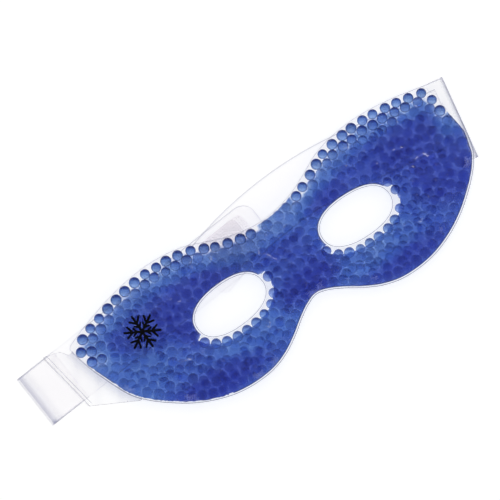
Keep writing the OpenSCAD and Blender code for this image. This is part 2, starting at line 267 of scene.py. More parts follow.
# ---------------------------------------------------------------- gel beads: packed between the sheets
def pack_beads():
    pos, rad = [], []

    def inward(P, want, n=14):
        """Moves points along the steepest way in until they lie the wanted depth inside the welds."""
        P = P.copy()
        e = 0.4
        for _ in range(n):
            gx = depth(P + [e, 0]) - depth(P - [e, 0])
            gy = depth(P + [0, e]) - depth(P - [0, e])
            gn = np.stack([gx, gy], 1)
            gn /= np.linalg.norm(gn, axis=1)[:, None] + 1e-9
            P += gn * (want - depth(P))[:, None] * 0.8
        return P

    def put(q, z_, rr, free=0.80):
        if pos and np.min(np.linalg.norm(np.array(pos) - [q[0], q[1], z_], axis=1) - np.array(rad)) < free * rr:
            return False
        pos.append([q[0], q[1], z_])
        rad.append(rr)
        return True

    def row(loop, z, r, gap, wave=0.0, only=None, jit=0.0):
        """Beads along a weld, touching it, their centres about gap apart."""
        s_ = np.arange(len(loop)) * 0.25
        wob = wave * (0.5 + 0.5 * np.sin(s_ * 0.83 + 2.0 * np.sin(s_ * 0.19)))
        nxt = np.roll(loop, -1, 0) - np.roll(loop, 1, 0)
        nrm = np.stack([nxt[:, 1], -nxt[:, 0]], 1)
        nrm /= np.linalg.norm(nrm, axis=1)[:, None]
        base = inward(loop + nrm * (r + 1.2), r + 0.12 + wob)
        ok = np.abs(depth(base) - (r + 0.12 + wob)) < 0.3
        last, out = None, []
        for p, good in zip(base, ok):
            if not good or (only is not None and not only(p)):
                continue
            g_ = gap(p) if callable(gap) else gap
            if last is None or np.linalg.norm(p - last) > g_ + rng.uniform(-0.15, 0.2):
                rr = r + rng.uniform(-0.2, 0.2)
                q = p + rng.uniform(-jit, jit, 2)
                if put(q, z + rng.uniform(-0.25, 0.25), rr):
                    out.append(q)
                    last = p
        return np.array(out)

    def between(first, step, z, r, only, far=8.0):
        """The next row: a bead in each gap of the row before, further in."""
        mid = (first + np.roll(first, -1, 0)) / 2
        near = np.linalg.norm(first - np.roll(first, -1, 0), axis=1) < far
        mid = mid[near]
        q = inward(mid, depth(mid) + step + rng.uniform(-0.45, 0.45, len(mid)))
        out = []
        for p in q:
            if only(p) and depth(p[None])[0] > r and put(p, z + rng.uniform(-0.5, 0.5), r + rng.uniform(-0.15, 0.2), 0.72):
                out.append(p)
        return np.array(out)

    brow = lambda p: p[1] > 9 or (p[0] > 88 and p[1] > -6)
    wide = lambda p: 5.75 if brow(p) or p[0] < -92 else 4.9
    first = row(resample(RIM, 0.25), SEAM + 0.6, 2.5, wide, 0.5)
    for e in EYES:
        ring = row(resample(e, 0.25), SEAM + 0.9, 2.42, 5.2, 0.3)
        below = lambda p: (p[0] - (35.5 if p[0] > 0 else -35.5)) * 0.30 - p[1] * 0.954 > -2
        between(ring, 2.9, SEAM + 2.6, 2.42, below)
    second = between(first, 2.75, SEAM + 2.5, 2.5, brow)
    third = between(second, 2.7, SEAM + 3.4, 2.45, brow, 9.0)
    between(third, 2.7, SEAM + 4.3, 2.45, brow, 9.0)
    N = 1500
    C = np.stack([rng.uniform(-106, 106, 240000), rng.uniform(-37, 38, 240000)], 1)
    R = rng.uniform(2.2, 2.62, len(C))
    dC = np.empty(len(C))
    g = np.mgrid[-108:108.1:0.75, -38:39.1:0.75]
    G = np.stack([g[0].ravel(), g[1].ravel()], 1)
    dG = depth(G).reshape(g[0].shape)

    def look(F, Q):
        u = (Q[:, 0] + 108) / 0.75
        v = (Q[:, 1] + 38) / 0.75
        i = np.clip(u.astype(int), 0, F.shape[0] - 2)
        j = np.clip(v.astype(int), 0, F.shape[1] - 2)
        a, b = u - i, v - j
        return (F[i, j] * (1 - a) * (1 - b) + F[i + 1, j] * a * (1 - b) + F[i, j + 1] * (1 - a) * b + F[i + 1, j + 1] * a * b)

    dC = look(dG, C)
    good = dC > R + 0.12
    C, R, dC = C[good], R[good], dC[good]
    floor = z_back0(C, dC) + 0.3
    ceil = z_ceiling(C, dC) - 0.3
    used = 0
    K = 60
    misses = 0
    P = np.array(pos)
    Q = np.array(rad)
    while used + K < len(C) and misses < 150 and len(P) < N:
        c, r, fl, ce = C[used:used + K], R[used:used + K], floor[used:used + K], ceil[used:used + K]
        used += K
        rho2 = ((c[:, None] - P[None, :, :2]) ** 2).sum(2)
        s = r[:, None] + Q[None] + 0.02
        z = np.where(rho2 < s * s, P[None, :, 2] + np.sqrt(np.maximum(s * s - rho2, 0)), -1)
        z = np.maximum(z.max(1), fl + r)
        score = np.where(z + r <= ce, z, 99)
        k = int(score.argmin())
        if score[k] > 50:
            misses += 1
            continue
        misses = 0
        P = np.vstack([P, [c[k, 0], c[k, 1], z[k]]])
        Q = np.append(Q, r[k])
    # settle: push overlapping beads apart inside the sheets
    n_rim = len(pos)
    for it in range(40):
        D = P[:, None] - P[None]
        L = np.sqrt((D * D).sum(2)) + np.eye(len(P)) * 99
        over = (Q[:, None] + Q[None] + 0.02) - L
        push = np.where(over > 0, over, 0)[..., None] * D / L[..., None] * 0.4
        move = push.sum(1)
        move[:, 2] -= 0.03
        P = P + move
        d = look(dG, P[:, :2])
        short = (Q + 0.1) - d
        bad = short > 0
        if bad.any():
            e = 0.3
            gx = look(dG, P[:, :2] + [e, 0]) - look(dG, P[:, :2] - [e, 0])
            gy = look(dG, P[:, :2] + [0, e]) - look(dG, P[:, :2] - [0, e])
            gn = np.stack([gx, gy], 1)
            gn /= np.linalg.norm(gn, axis=1)[:, None] + 1e-9
            P[bad, :2] += gn[bad] * short[bad, None]
        d = look(dG, P[:, :2])
        fl = z_back0(P[:, :2], d) + 0.3 + Q
        ce = z_ceiling(P[:, :2], d) - 0.3 - Q
        ce = np.maximum(ce, fl)
        P[:, 2] = np.clip(P[:, 2], fl, ce)
    return P, Q


BEAD_P, BEAD_R = pack_beads()
BEAD_WET = gel_fill(BEAD_P[:, :2])
print("beads", len(BEAD_P), "on the rims first")


def support(P, sign, skin):
    """Highest (sign 1) or lowest (sign -1) height at which a sheet touches a bead."""
    out = np.full(len(P), -1e9)
    for i in range(0, len(P), 1500):
        q = P[i:i + 1500]
        rho2 = ((q[:, None] - BEAD_P[None, :, :2]) ** 2).sum(2)
        R2 = (BEAD_R + skin) ** 2
        z = np.where(rho2 < R2, sign * BEAD_P[None, :, 2] + np.sqrt(np.maximum(R2 - rho2, 0)), -1e9)
        out[i:i + 1500] = z.max(1)
    return sign * out


# ---------------------------------------------------------------- a triangulated plan with two eye openings
def ring_points(loop, sign, dist):
    nxt = np.roll(loop, -1, 0) - np.roll(loop, 1, 0)
    nrm = np.stack([nxt[:, 1], -nxt[:, 0]], 1)
    nrm /= np.linalg.norm(nrm, axis=1)[:, None]
    P = loop + sign * nrm * np.asarray(dist).reshape(-1, 1)
    ok = dist_to(P, loop) > np.asarray(dist).reshape(-1) * 0.97 - 0.02
    return P[ok]


def triangulate(loops, extra, keep, chains=()):
    V, E = [], []
    for L in loops:
        o = len(V)
        V += [tuple(p) for p in L]
        E += [(o + i, o + (i + 1) % len(L)) for i in range(len(L))]
    for L in chains:
        o = len(V)
        V += [tuple(p) for p in L]
        step = np.linalg.norm(np.roll(L, -1, 0) - L, axis=1)
        E += [(o + i, o + (i + 1) % len(L)) for i in range(len(L)) if step[i] < 2.2]
    V += [tuple(p) for p in extra]
    out = delaunay_2d_cdt([Vector(v) for v in V], E, [], 0, 1e-5)
    P = np.array([tuple(v) for v in out[0]])
    T = np.array([list(f) for f in out[2]])
    T = T[keep(P[T].mean(1))]
    a = P[T]
    area = np.cross(a[:, 1] - a[:, 0], a[:, 2] - a[:, 0])
    T[area < 0] = T[area < 0][:, ::-1]
    T = T[np.abs(area) > 1e-6]
    used = np.unique(T)
    remap = -np.ones(len(P), int)
    remap[used] = np.arange(len(used))
    return P[used], remap[T]


def thin_out(P, gap, against=None):
    """Drops points closer than gap to one kept before."""
    cell = {}
    out = []
    for p in P:
        k = (int(p[0] // gap), int(p[1] // gap))
        near = [q for i in (-1, 0, 1) for j in (-1, 0, 1) for q in cell.get((k[0] + i, k[1] + j), ())]
        if all((p[0] - q[0]) ** 2 + (p[1] - q[1]) ** 2 > gap * gap for q in near):
            cell.setdefault(k, []).append(p)
            out.append(p)
    return np.array(out)


H = 1.15


def plan_mesh():
    g = np.mgrid[-96:97, -40:41]
    gx = g[0] * H + (g[1] % 2) * H / 2
    gy = g[1] * H * math.sqrt(3) / 2
    G = np.stack([gx.ravel(), gy.ravel()], 1)
    G = G[(np.abs(G[:, 0]) < 108) & (np.abs(G[:, 1]) < 39)]
    G = G + rng.uniform(-0.12, 0.12, G.shape)
    dr, de = d_rim(G), d_eye(G)
    G = G[(dr > 0.7) & (de > 0.6)]
    w = w_rim(RIM)

    def on_weld(loop, start):
        """Points moved onto the line where the filling begins."""
        nxt = np.roll(loop, -1, 0) - np.roll(loop, 1, 0)
        nrm = np.stack([nxt[:, 1], -nxt[:, 0]], 1)
        nrm /= np.linalg.norm(nrm, axis=1)[:, None]
        t = np.full(len(loop), 1.0) * start
        for _ in range(12):
            t = t - depth(loop + nrm * t[:, None])
        Q = loop + nrm * t[:, None]
        Q = Q[(np.abs(depth(Q)) < 0.03) & (dist_to(Q, loop) > 0.8)]
        return Q[np.r_[True, np.linalg.norm(np.diff(Q, axis=0), axis=1) > 0.35]]

    chains = [ring_points(RIM, 1, np.full(len(RIM), 0.40)), on_weld(RIM, w)]
    for e in EYES:
        chains += [ring_points(e, 1, np.full(len(e), 0.36)), on_weld(e, W_EYE)]
    rings = [ring_points(RIM, 1, np.maximum(w + f, 0.8)) for f in (-0.5, 0.55)]
    for e in EYES:
        rings += [ring_points(e, 1, np.full(len(e), f)) for f in (0.8, 1.8)]
    fixed = np.vstack(chains)
    pts = thin_out(np.vstack([fixed] + rings + [G]), 0.40)
    taken = {tuple(np.round(q, 6)) for q in fixed}
    pts = np.array([q for q in pts if tuple(np.round(q, 6)) not in taken])
    pts = pts[(d_rim(pts) > 0.5) & (d_eye(pts) > 0.5)]
    return triangulate([RIM] + EYES, pts, lambda c: inside(c, RIM) & ~inside(c, EYES[0]) & ~inside(c, EYES[1]), chains)


PLAN, TRI = plan_mesh()
EDGES = np.unique(np.sort(np.vstack([TRI[:, [0, 1]], TRI[:, [1, 2]], TRI[:, [2, 0]]]), axis=1), axis=0)
D_PLAN = depth(PLAN)
print("plan", len(PLAN), len(TRI))


def relax(z, fixed, lower, upper, pull, n):
    i, j = EDGES.T
    m = len(z)
    deg = np.bincount(i, minlength=m) + np.bincount(j, minlength=m)
    for _ in range(n):
        s = np.bincount(i, weights=z[j], minlength=m) + np.bincount(j, weights=z[i], minlength=m)
        z = np.where(fixed, z, np.clip(s / deg + pull, lower, upper))
    return z


def weld_marks(d):
    """Two fine pressed lines along the weld."""
    return -0.05 * np.exp(-((d + 0.25) / 0.16) ** 2) - 0.04 * np.exp(-((d + 0.75) / 0.16) ** 2)


FLANGE = D_PLAN <= 0.0
Z_FRONT = relax(np.where(FLANGE, SEAM + 0.3 + weld_marks(D_PLAN), z_ceiling(PLAN, D_PLAN)), FLANGE,
                np.maximum(support(PLAN, 1, 0.30), SEAM + 0.3), np.full(len(PLAN), TOP + 0.4), -0.022, 500)
b0 = z_back0(PLAN, D_PLAN)
low = np.where(D_PLAN > 0, np.maximum(back_level(PLAN) - 0.02, 0.05), SEAM - 0.3)
hug = np.minimum(support(PLAN, -1, 0.02), SEAM - 0.32)
Z_BACK = relax(np.where(FLANGE, SEAM - 0.02, b0 + 0.28), FLANGE, low + 0.28, np.maximum(hug, low + 0.28), 0.02, 500)


# ---------------------------------------------------------------- mesh helpers
def new_object(name, verts, faces, mats=(), mat_index=None, smooth=True, attrs=None):
    me = bpy.data.meshes.new(name)
    verts = np.asarray(verts, np.float32)
    me.from_pydata((verts * MM).tolist(), [], [list(map(int, f)) for f in faces])
    for m in mats:
        me.materials.append(m)
    if mat_index is not None:
        me.polygons.foreach_set("material_index", np.asarray(mat_index, np.int32))
    if attrs:
        for k, v in attrs.items():
            v = np.asarray(v, np.float32)
            if v.ndim == 2:
                a = me.attributes.new(k, "FLOAT_COLOR", "POINT")
                a.data.foreach_set("color", np.c_[v, np.ones(len(v))].astype(np.float32).ravel())
            else:
                a = me.attributes.new(k, "FLOAT", "POINT")
                a.data.foreach_set("value", v)
    me.polygons.foreach_set("use_smooth", np.full(len(me.polygons), smooth))
    me.validate()
    me.update()
    ob = bpy.data.objects.new(name, me)
    bpy.context.scene.collection.objects.link(ob)
    return ob


def shell(plan, tri, z_hi, z_lo):
    """Closed sheet between two height fields. Returns vertices, faces and 1 for each side face."""
    n = len(plan)
    V = np.vstack([np.c_[plan, z_hi], np.c_[plan, z_lo]])
    e = np.vstack([tri[:, [0, 1]], tri[:, [1, 2]], tri[:, [2, 0]]])
    key = e[:, 0] * n + e[:, 1]
    rev = e[:, 1] * n + e[:, 0]
    b = e[~np.isin(key, rev)]
    sides = np.c_[b[:, 1], b[:, 0], b[:, 0] + n, b[:, 1] + n]
    F = [list(t) for t in tri] + [list(t[::-1] + n) for t in tri] + [list(s) for s in sides]
    edge = np.r_[np.zeros(2 * len(tri), int), np.ones(len(sides), int)]
    return V, F, edge


# ---------------------------------------------------------------- materials
def material(name):
    m = bpy.data.materials.new(name)
    m.use_nodes = True
    nt = m.node_tree
    nt.nodes.clear()
    return m, nt, nt.nodes.new("ShaderNodeOutputMaterial")


def node(nt, kind, **kw):
    n = nt.nodes.new(kind)
    for k, v in kw.items():
        if k in n.inputs.keys():
            n.inputs[k].default_value = v
        else:
            setattr(n, k, v)
    return n


def noise(nt, scale, detail=3.0, rough=0.5):
    tc = nt.nodes.new("ShaderNodeTexCoord")
    nz = nt.nodes.new("ShaderNodeTexNoise")
    nz.inputs["Scale"].default_value = scale
    nz.inputs["Detail"].default_value = detail
    nz.inputs["Roughness"].default_value = rough
    nt.links.new(tc.outputs["Object"], nz.inputs["Vector"])
    return nz


def bump(nt, height, strength, distance):
    b = nt.nodes.new("ShaderNodeBump")
    b.inputs["Strength"].default_value = strength
    b.inputs["Distance"].default_value = distance
    nt.links.new(height, b.inputs["Height"])
    return b


def clear_path(nt, surface, out, through):
    """Shadow and bounced light pass straight through, tinted; the camera sees the surface itself."""
    L = nt.links.new
    lp = node(nt, "ShaderNodeLightPath")
    mxx = node(nt, "ShaderNodeMath", operation="MAXIMUM")
    L(lp.outputs["Is Shadow Ray"], mxx.inputs[0])
    L(lp.outputs["Is Diffuse Ray"], mxx.inputs[1])
    tr = node(nt, "ShaderNodeBsdfTransparent")
    tr.inputs["Color"].default_value = (*through, 1)
    mx = node(nt, "ShaderNodeMixShader")
    L(mxx.outputs[0], mx.inputs[0])
    L(surface, mx.inputs[1])
    L(tr.outputs[0], mx.inputs[2])
    L(mx.outputs[0], out.inputs["Surface"])


def gloss_amount(nt, f0, top, power, normal=None):
    """Reflectance of a thin sheet seen from either side: f0 face on, rising to top at a grazing view."""
    L = nt.links.new
    lw = node(nt, "ShaderNodeLayerWeight")
    lw.inputs["Blend"].default_value = 0.5
    if normal is not None:
        L(normal, lw.inputs["Normal"])
    pw = node(nt, "ShaderNodeMath", operation="POWER")
    L(lw.outputs["Facing"], pw.inputs[0])
    pw.inputs[1].default_value = power
    ma = node(nt, "ShaderNodeMath", operation="MULTIPLY_ADD")
    L(pw.outputs[0], ma.inputs[0])
    ma.inputs[1].default_value = top - f0
    ma.inputs[2].default_value = f0
    return ma.outputs[0]


TH = math.radians(35.3)
LIGHT_UP = (math.sin(TH), math.cos(TH), 0.0)


def mix_rgb(nt, fac, a, b, blend="MIX"):
    n = node(nt, "ShaderNodeMix", data_type="RGBA", blend_type=blend)
    A = [q for q in n.inputs if q.name == "A" and q.type == "RGBA"][0]
    B = [q for q in n.inputs if q.name == "B" and q.type == "RGBA"][0]
    for sock, v in ((A, a), (B, b)):
        if isinstance(v, tuple):
            sock.default_value = (*v, 1)
        else:
            nt.links.new(v, sock)
    if isinstance(fac, (int, float)):
        n.inputs["Factor"].default_value = fac
    else:
        nt.links.new(fac, n.inputs["Factor"])
    return [q for q in n.outputs if q.type == "RGBA"][0]


def ramp_of(nt, value, lo, hi, smooth=True):
    mr = node(nt, "ShaderNodeMapRange")
    if smooth:
        mr.interpolation_type = "SMOOTHSTEP"
    mr.inputs["From Min"].default_value = lo
    mr.inputs["From Max"].default_value = hi
    nt.links.new(value, mr.inputs["Value"])
    return mr.outputs["Result"]


def math_of(nt, op, a, b):
    n = node(nt, "ShaderNodeMath", operation=op)
    for i, v in enumerate((a, b)):
        if isinstance(v, (int, float)):
            n.inputs[i].default_value = v
        else:
            nt.links.new(v, n.inputs[i])
    return n.outputs[0]


def film_material(name, clear_tint, haze_tint, haze_amount, rough, wrinkle_scale, wrinkle, f0=0.010, top=0.30,
                  edge_on_shade_tint=(0.80, 0.80, 0.86), edge_power=3.0, shade_tint=(0.62, 0.63, 0.72)):
    """Thin clear film: see-through, with painted shade where it is seen edge-on, where its wrinkles tilt away from
    LIGHT_UP and where the 'shade' attribute asks for it, a little gloss and a trace of haze.
    """
    m, nt, out = material(name)
    L = nt.links.new
    nz = noise(nt, wrinkle_scale, 3.0, 0.55)
    bp = bump(nt, nz.outputs["Fac"], wrinkle, 0.0006)
    edge = gloss_amount(nt, 0.0, 1.0, edge_power)
    tint = node(nt, "ShaderNodeMix", data_type="RGBA")
    A = [q for q in tint.inputs if q.name == "A" and q.type == "RGBA"][0]
    B = [q for q in tint.inputs if q.name == "B" and q.type == "RGBA"][0]
    A.default_value = (*clear_tint, 1)
    B.default_value = (*edge_on_shade_tint, 1)
    L(edge, tint.inputs["Factor"])
    # painted shade: the 'shade' attribute darkens the film at folds, along edges, along the pressed weld line and
    # beside the pouch
    at = node(nt, "ShaderNodeAttribute", attribute_name="shade")
    sl = node(nt, "ShaderNodeVectorMath", operation="DOT_PRODUCT")
    sl.inputs[1].default_value = LIGHT_UP
    L(bp.outputs["Normal"], sl.inputs[0])
    ge = node(nt, "ShaderNodeNewGeometry")
    sl2 = node(nt, "ShaderNodeVectorMath", operation="DOT_PRODUCT")
    sl2.inputs[1].default_value = LIGHT_UP
    L(ge.outputs["Normal"], sl2.inputs[0])
    # painted shade on the wrinkles: darker where the bumped normal tilts away from LIGHT_UP
    painted_wrinkle_shade = ramp_of(nt, math_of(nt, "SUBTRACT", sl2.outputs["Value"], sl.outputs["Value"]), 0.0, 0.14)
    c_ = mix_rgb(nt, math_of(nt, "MULTIPLY", painted_wrinkle_shade, 0.14), [q for q in tint.outputs if q.type == "RGBA"][0], shade_tint)
    c_ = mix_rgb(nt, at.outputs["Fac"], c_, shade_tint)
    tr = node(nt, "ShaderNodeBsdfTransparent")
    L(c_, tr.inputs["Color"])
    gl = node(nt, "ShaderNodeBsdfGlossy")
    gl.inputs["Color"].default_value = (1, 1, 1, 1)
    gl.inputs["Roughness"].default_value = rough
    L(bp.outputs["Normal"], gl.inputs["Normal"])
    df = node(nt, "ShaderNodeBsdfDiffuse")
    df.inputs["Color"].default_value = (*haze_tint, 1)
    nz2 = noise(nt, 90.0, 2.0, 0.5)
    mr = node(nt, "ShaderNodeMapRange")
    mr.inputs["From Min"].default_value = 0.3
    mr.inputs["From Max"].default_value = 0.75
    mr.inputs["To Min"].default_value = haze_amount * 0.4
    mr.inputs["To Max"].default_value = haze_amount * 1.6
    L(nz2.outputs["Fac"], mr.inputs["Value"])
    mx = node(nt, "ShaderNodeMixShader")
    L(mr.outputs["Result"], mx.inputs[0])
    L(tr.outputs[0], mx.inputs[1])
    L(df.outputs[0], mx.inputs[2])
    m2 = node(nt, "ShaderNodeMixShader")
    L(gloss_amount(nt, f0, top, 4.0, bp.outputs["Normal"]), m2.inputs[0])
    L(mx.outputs[0], m2.inputs[1])
    L(gl.outputs[0], m2.inputs[2])
    clear_path(nt, m2.outputs[0], out, (0.99, 0.99, 0.992))
    return m


def edge_material(name, tint, amount):
    """Cut edge of a film, where light runs along the sheet and it looks darker."""
    m, nt, out = material(name)
    L = nt.links.new
    nz = noise(nt, 260.0, 2.0)
    cr = node(nt, "ShaderNodeValToRGB")
    cr.color_ramp.elements[0].position = 0.3
    cr.color_ramp.elements[0].color = (tint[0] * 0.8, tint[1] * 0.8, tint[2] * 0.85, 1)
    cr.color_ramp.elements[1].position = 0.7
    cr.color_ramp.elements[1].color = (*tint, 1)
    L(nz.outputs["Fac"], cr.inputs["Fac"])
    tr = node(nt, "ShaderNodeBsdfTransparent")
    tr.inputs["Color"].default_value = (0.9, 0.9, 0.92, 1)
    pr = node(nt, "ShaderNodeBsdfPrincipled")
    L(cr.outputs["Color"], pr.inputs["Base Color"])
    pr.inputs["Roughness"].default_value = 0.25
    at = node(nt, "ShaderNodeAttribute", attribute_name="cut")
    mx = node(nt, "ShaderNodeMixShader")
    L(math_of(nt, "ADD", at.outputs["Fac"], amount), mx.inputs[0])
    L(tr.outputs[0], mx.inputs[1])
    L(pr.outputs[0], mx.inputs[2])
    clear_path(nt, mx.outputs[0], out, (0.96, 0.96, 0.97))
    return m


def side_scatter(nt, shader, tint, share):
    """Adds scattered light where the view runs along the pouch and the path through the gel is long."""
    L = nt.links.new
    ge = node(nt, "ShaderNodeNewGeometry")
    up = node(nt, "ShaderNodeVectorMath", operation="DOT_PRODUCT")
    up.inputs[1].default_value = (0, 0, 1)
    L(ge.outputs["Incoming"], up.inputs[0])
    low = ramp_of(nt, math_of(nt, "ABSOLUTE", up.outputs["Value"], 0.0), 0.02, 0.60)
    k = math_of(nt, "MULTIPLY", math_of(nt, "SUBTRACT", 1.0, low), share)
    df = node(nt, "ShaderNodeBsdfDiffuse")
    L(tint, df.inputs["Color"])
    mx = node(nt, "ShaderNodeMixShader")
    L(k, mx.inputs[0])
    L(shader, mx.inputs[1])
    L(df.outputs[0], mx.inputs[2])
    return mx.outputs[0]


def bead_material():
    """Clear blue gel ball: tinted refraction, with painted shade (a dark arc on its upper side, towards LIGHT_UP, and a
    dark rim where it is seen edge-on) and painted light (a lighter crescent on the lower side and a lighter centre);
    wet beads get a pale painted sheen at their rim.
    """
    m, nt, out = material("gel_bead")
    L = nt.links.new
    ge = node(nt, "ShaderNodeNewGeometry")
    dot = node(nt, "ShaderNodeVectorMath", operation="DOT_PRODUCT")
    dot.inputs[1].default_value = LIGHT_UP
    L(ge.outputs["Normal"], dot.inputs[0])
    at = node(nt, "ShaderNodeAttribute", attribute_name="tint")
    wet = node(nt, "ShaderNodeAttribute", attribute_name="wet")
    nzc = noise(nt, 450.0, 2.0)
    base = mix_rgb(nt, ramp_of(nt, nzc.outputs["Fac"], 0.35, 0.65), at.outputs["Color"], (0.93, 0.94, 0.98), "MULTIPLY")
    grazing = gloss_amount(nt, 0.0, 1.0, 1.0)
    # painted sheen: wet beads turn paler where they are seen edge-on
    base = mix_rgb(nt, math_of(nt, "MULTIPLY", math_of(nt, "MULTIPLY", grazing, wet.outputs["Fac"]), 0.70), base, (0.93, 0.95, 0.99))
    # painted shade and light for light falling from LIGHT_UP: a dark rim seen edge-on, a dark arc on the side towards
    # LIGHT_UP, a lighter crescent on the side away from it
    rim = ramp_of(nt, grazing, 0.35, 0.95)
    arc = ramp_of(nt, dot.outputs["Value"], 0.12, 0.72)
    low = ramp_of(nt, math_of(nt, "MULTIPLY", dot.outputs["Value"], -1.0), -0.05, 0.62)
    front = math_of(nt, "SUBTRACT", 1.0, ge.outputs["Backfacing"])
    dry = math_of(nt, "SUBTRACT", 1.0, math_of(nt, "MULTIPLY", wet.outputs["Fac"], 0.67))
    k_painted_rim_shade = math_of(nt, "MULTIPLY", math_of(nt, "MULTIPLY", rim, front), math_of(nt, "MULTIPLY", dry, 0.80))
    k_painted_arc_shade = math_of(nt, "MULTIPLY", math_of(nt, "MULTIPLY", arc, front), math_of(nt, "MULTIPLY", dry, 1.0))
    k_painted_crescent_light = math_of(nt, "MULTIPLY", math_of(nt, "MULTIPLY", low, front), math_of(nt, "MULTIPLY", dry, 0.95))
    # painted light: a lighter centre on the front of dry beads
    painted_core_light = math_of(nt, "MULTIPLY", math_of(nt, "SUBTRACT", 1.0, ramp_of(nt, grazing, 0.02, 0.30)), math_of(nt, "MULTIPLY", front, dry))
    c = mix_rgb(nt, math_of(nt, "MULTIPLY", painted_core_light, 0.30), base, (0.80, 0.88, 0.98))
    c = mix_rgb(nt, k_painted_crescent_light, c, (0.92, 0.96, 1.0))
    c = mix_rgb(nt, k_painted_rim_shade, c, (0.08, 0.15, 0.52))
    c = mix_rgb(nt, k_painted_arc_shade, c, (0.022, 0.06, 0.31))
    nz = noise(nt, 900.0, 2.0)
    bp = bump(nt, nz.outputs["Fac"], 0.12, 0.0002)
    io = node(nt, "ShaderNodeMapRange")
    io.inputs["To Min"].default_value = 1.26
    io.inputs["To Max"].default_value = 1.05
    L(wet.outputs["Fac"], io.inputs["Value"])
    rf = node(nt, "ShaderNodeBsdfRefraction")
    L(c, rf.inputs["Color"])
    rf.inputs["Roughness"].default_value = 0.05
    L(io.outputs["Result"], rf.inputs["IOR"])
    L(bp.outputs["Normal"], rf.inputs["Normal"])
    st = node(nt, "ShaderNodeBsdfTransparent")
    L(c, st.inputs["Color"])
    mx = node(nt, "ShaderNodeMixShader")
    L(math_of(nt, "ADD", 0.40, math_of(nt, "MULTIPLY", ramp_of(nt, grazing, 0.45, 0.85), 0.60)), mx.inputs[0])
    L(rf.outputs[0], mx.inputs[1])
    L(st.outputs[0], mx.inputs[2])
    gl = node(nt, "ShaderNodeBsdfGlossy")
    gl.inputs["Roughness"].default_value = 0.08
    L(bp.outputs["Normal"], gl.inputs["Normal"])
    m2 = node(nt, "ShaderNodeMixShader")
    L(math_of(nt, "MULTIPLY", gloss_amount(nt, 0.012, 0.16, 4.0), front), m2.inputs[0])
    L(mx.outputs[0], m2.inputs[1])
    L(gl.outputs[0], m2.inputs[2])
    glow = mix_rgb(nt, 0.45, c, (0.10, 0.22, 0.80))
    clear_path(nt, side_scatter(nt, m2.outputs[0], glow, 0.45), out, (0.90, 0.92, 0.975))
    return m


def gel_material():
    m, nt, out = material("carrier_gel")
    L = nt.links.new
    at = node(nt, "ShaderNodeAttribute", attribute_name="tint")
    nz = noise(nt, 120.0, 4.0, 0.6)
    base = mix_rgb(nt, ramp_of(nt, nz.outputs["Fac"], 0.35, 0.7), at.outputs["Color"], (0.86, 0.88, 0.97), "MULTIPLY")
    bp = bump(nt, nz.outputs["Fac"], 0.3, 0.0005)
    tr = node(nt, "ShaderNodeBsdfTransparent")
    L(base, tr.inputs["Color"])
    gl = node(nt, "ShaderNodeBsdfGlossy")
    gl.inputs["Roughness"].default_value = 0.10
    L(bp.outputs["Normal"], gl.inputs["Normal"])
    mx = node(nt, "ShaderNodeMixShader")
    L(gloss_amount(nt, 0.006, 0.10, 4.0, bp.outputs["Normal"]), mx.inputs[0])
    L(tr.outputs[0], mx.inputs[1])
    L(gl.outputs[0], mx.inputs[2])
    glow = mix_rgb(nt, 0.45, base, (0.08, 0.18, 0.72))
    clear_path(nt, side_scatter(nt, mx.outputs[0], glow, 0.38), out, (0.92, 0.94, 0.98))
    return m


def plain_material(name, c_lo, c_hi, scale, rough_lo, rough_hi, bump_strength=0.2, bump_dist=0.0002, alpha=1.0, spec=0.5):
    m, nt, out = material(name)
    L = nt.links.new
    nz = noise(nt, scale, 4.0, 0.6)
    cr = node(nt, "ShaderNodeValToRGB")
    cr.color_ramp.elements[0].position = 0.3
    cr.color_ramp.elements[0].color = (*c_lo, 1)
    cr.color_ramp.elements[1].position = 0.7
    cr.color_ramp.elements[1].color = (*c_hi, 1)
    L(nz.outputs["Fac"], cr.inputs["Fac"])
    mr = node(nt, "ShaderNodeMapRange")
    mr.inputs["To Min"].default_value = rough_lo
    mr.inputs["To Max"].default_value = rough_hi
    L(nz.outputs["Fac"], mr.inputs["Value"])
    bp = bump(nt, nz.outputs["Fac"], bump_strength, bump_dist)
    pr = node(nt, "ShaderNodeBsdfPrincipled")
    L(cr.outputs["Color"], pr.inputs["Base Color"])
    L(mr.outputs["Result"], pr.inputs["Roughness"])
    L(bp.outputs["Normal"], pr.inputs["Normal"])
    pr.inputs["Alpha"].default_value = alpha
    pr.inputs["Specular IOR Level"].default_value = spec
    L(pr.outputs[0], out.inputs["Surface"])
    return m


M_FILM = film_material("pouch_film", (0.994, 0.994, 0.996), (0.86, 0.86, 0.93), 0.005, 0.12, 160.0, 0.10)
M_FILM_EDGE = edge_material("pouch_film_edge", (0.27, 0.31, 0.50), 0.03)
M_STRAP = film_material("clear_strap", (0.998, 0.995, 0.998), (0.95, 0.93, 0.96), 0.006, 0.12, 55.0, 0.9, edge_power=1.6,
                        edge_on_shade_tint=(0.62, 0.62, 0.68))
M_STRAP_EDGE = edge_material("clear_strap_edge", (0.50, 0.48, 0.53), 0.15)
M_TAB = film_material("clear_tab", (0.997, 0.996, 0.998), (0.95, 0.94, 0.97), 0.006, 0.12, 50.0, 1.0, edge_power=1.6,
                      edge_on_shade_tint=(0.55, 0.55, 0.62))
M_BEAD = bead_material()
M_GEL = gel_material()
M_INK = plain_material("print_ink", (0.001, 0.001, 0.002), (0.005, 0.005, 0.008), 1400.0, 0.5, 0.7, spec=0.08)
M_HOOK = film_material("hook_tape", (0.985, 0.978, 0.985), (0.96, 0.93, 0.96), 0.03, 0.25, 700.0, 0.3, edge_on_shade_tint=(0.92, 0.91, 0.93))
M_LOOP = film_material("loop_tape", (0.985, 0.976, 0.984), (0.97, 0.93, 0.96), 0.04, 0.6, 500.0, 0.3, edge_on_shade_tint=(0.94, 0.92, 0.94))

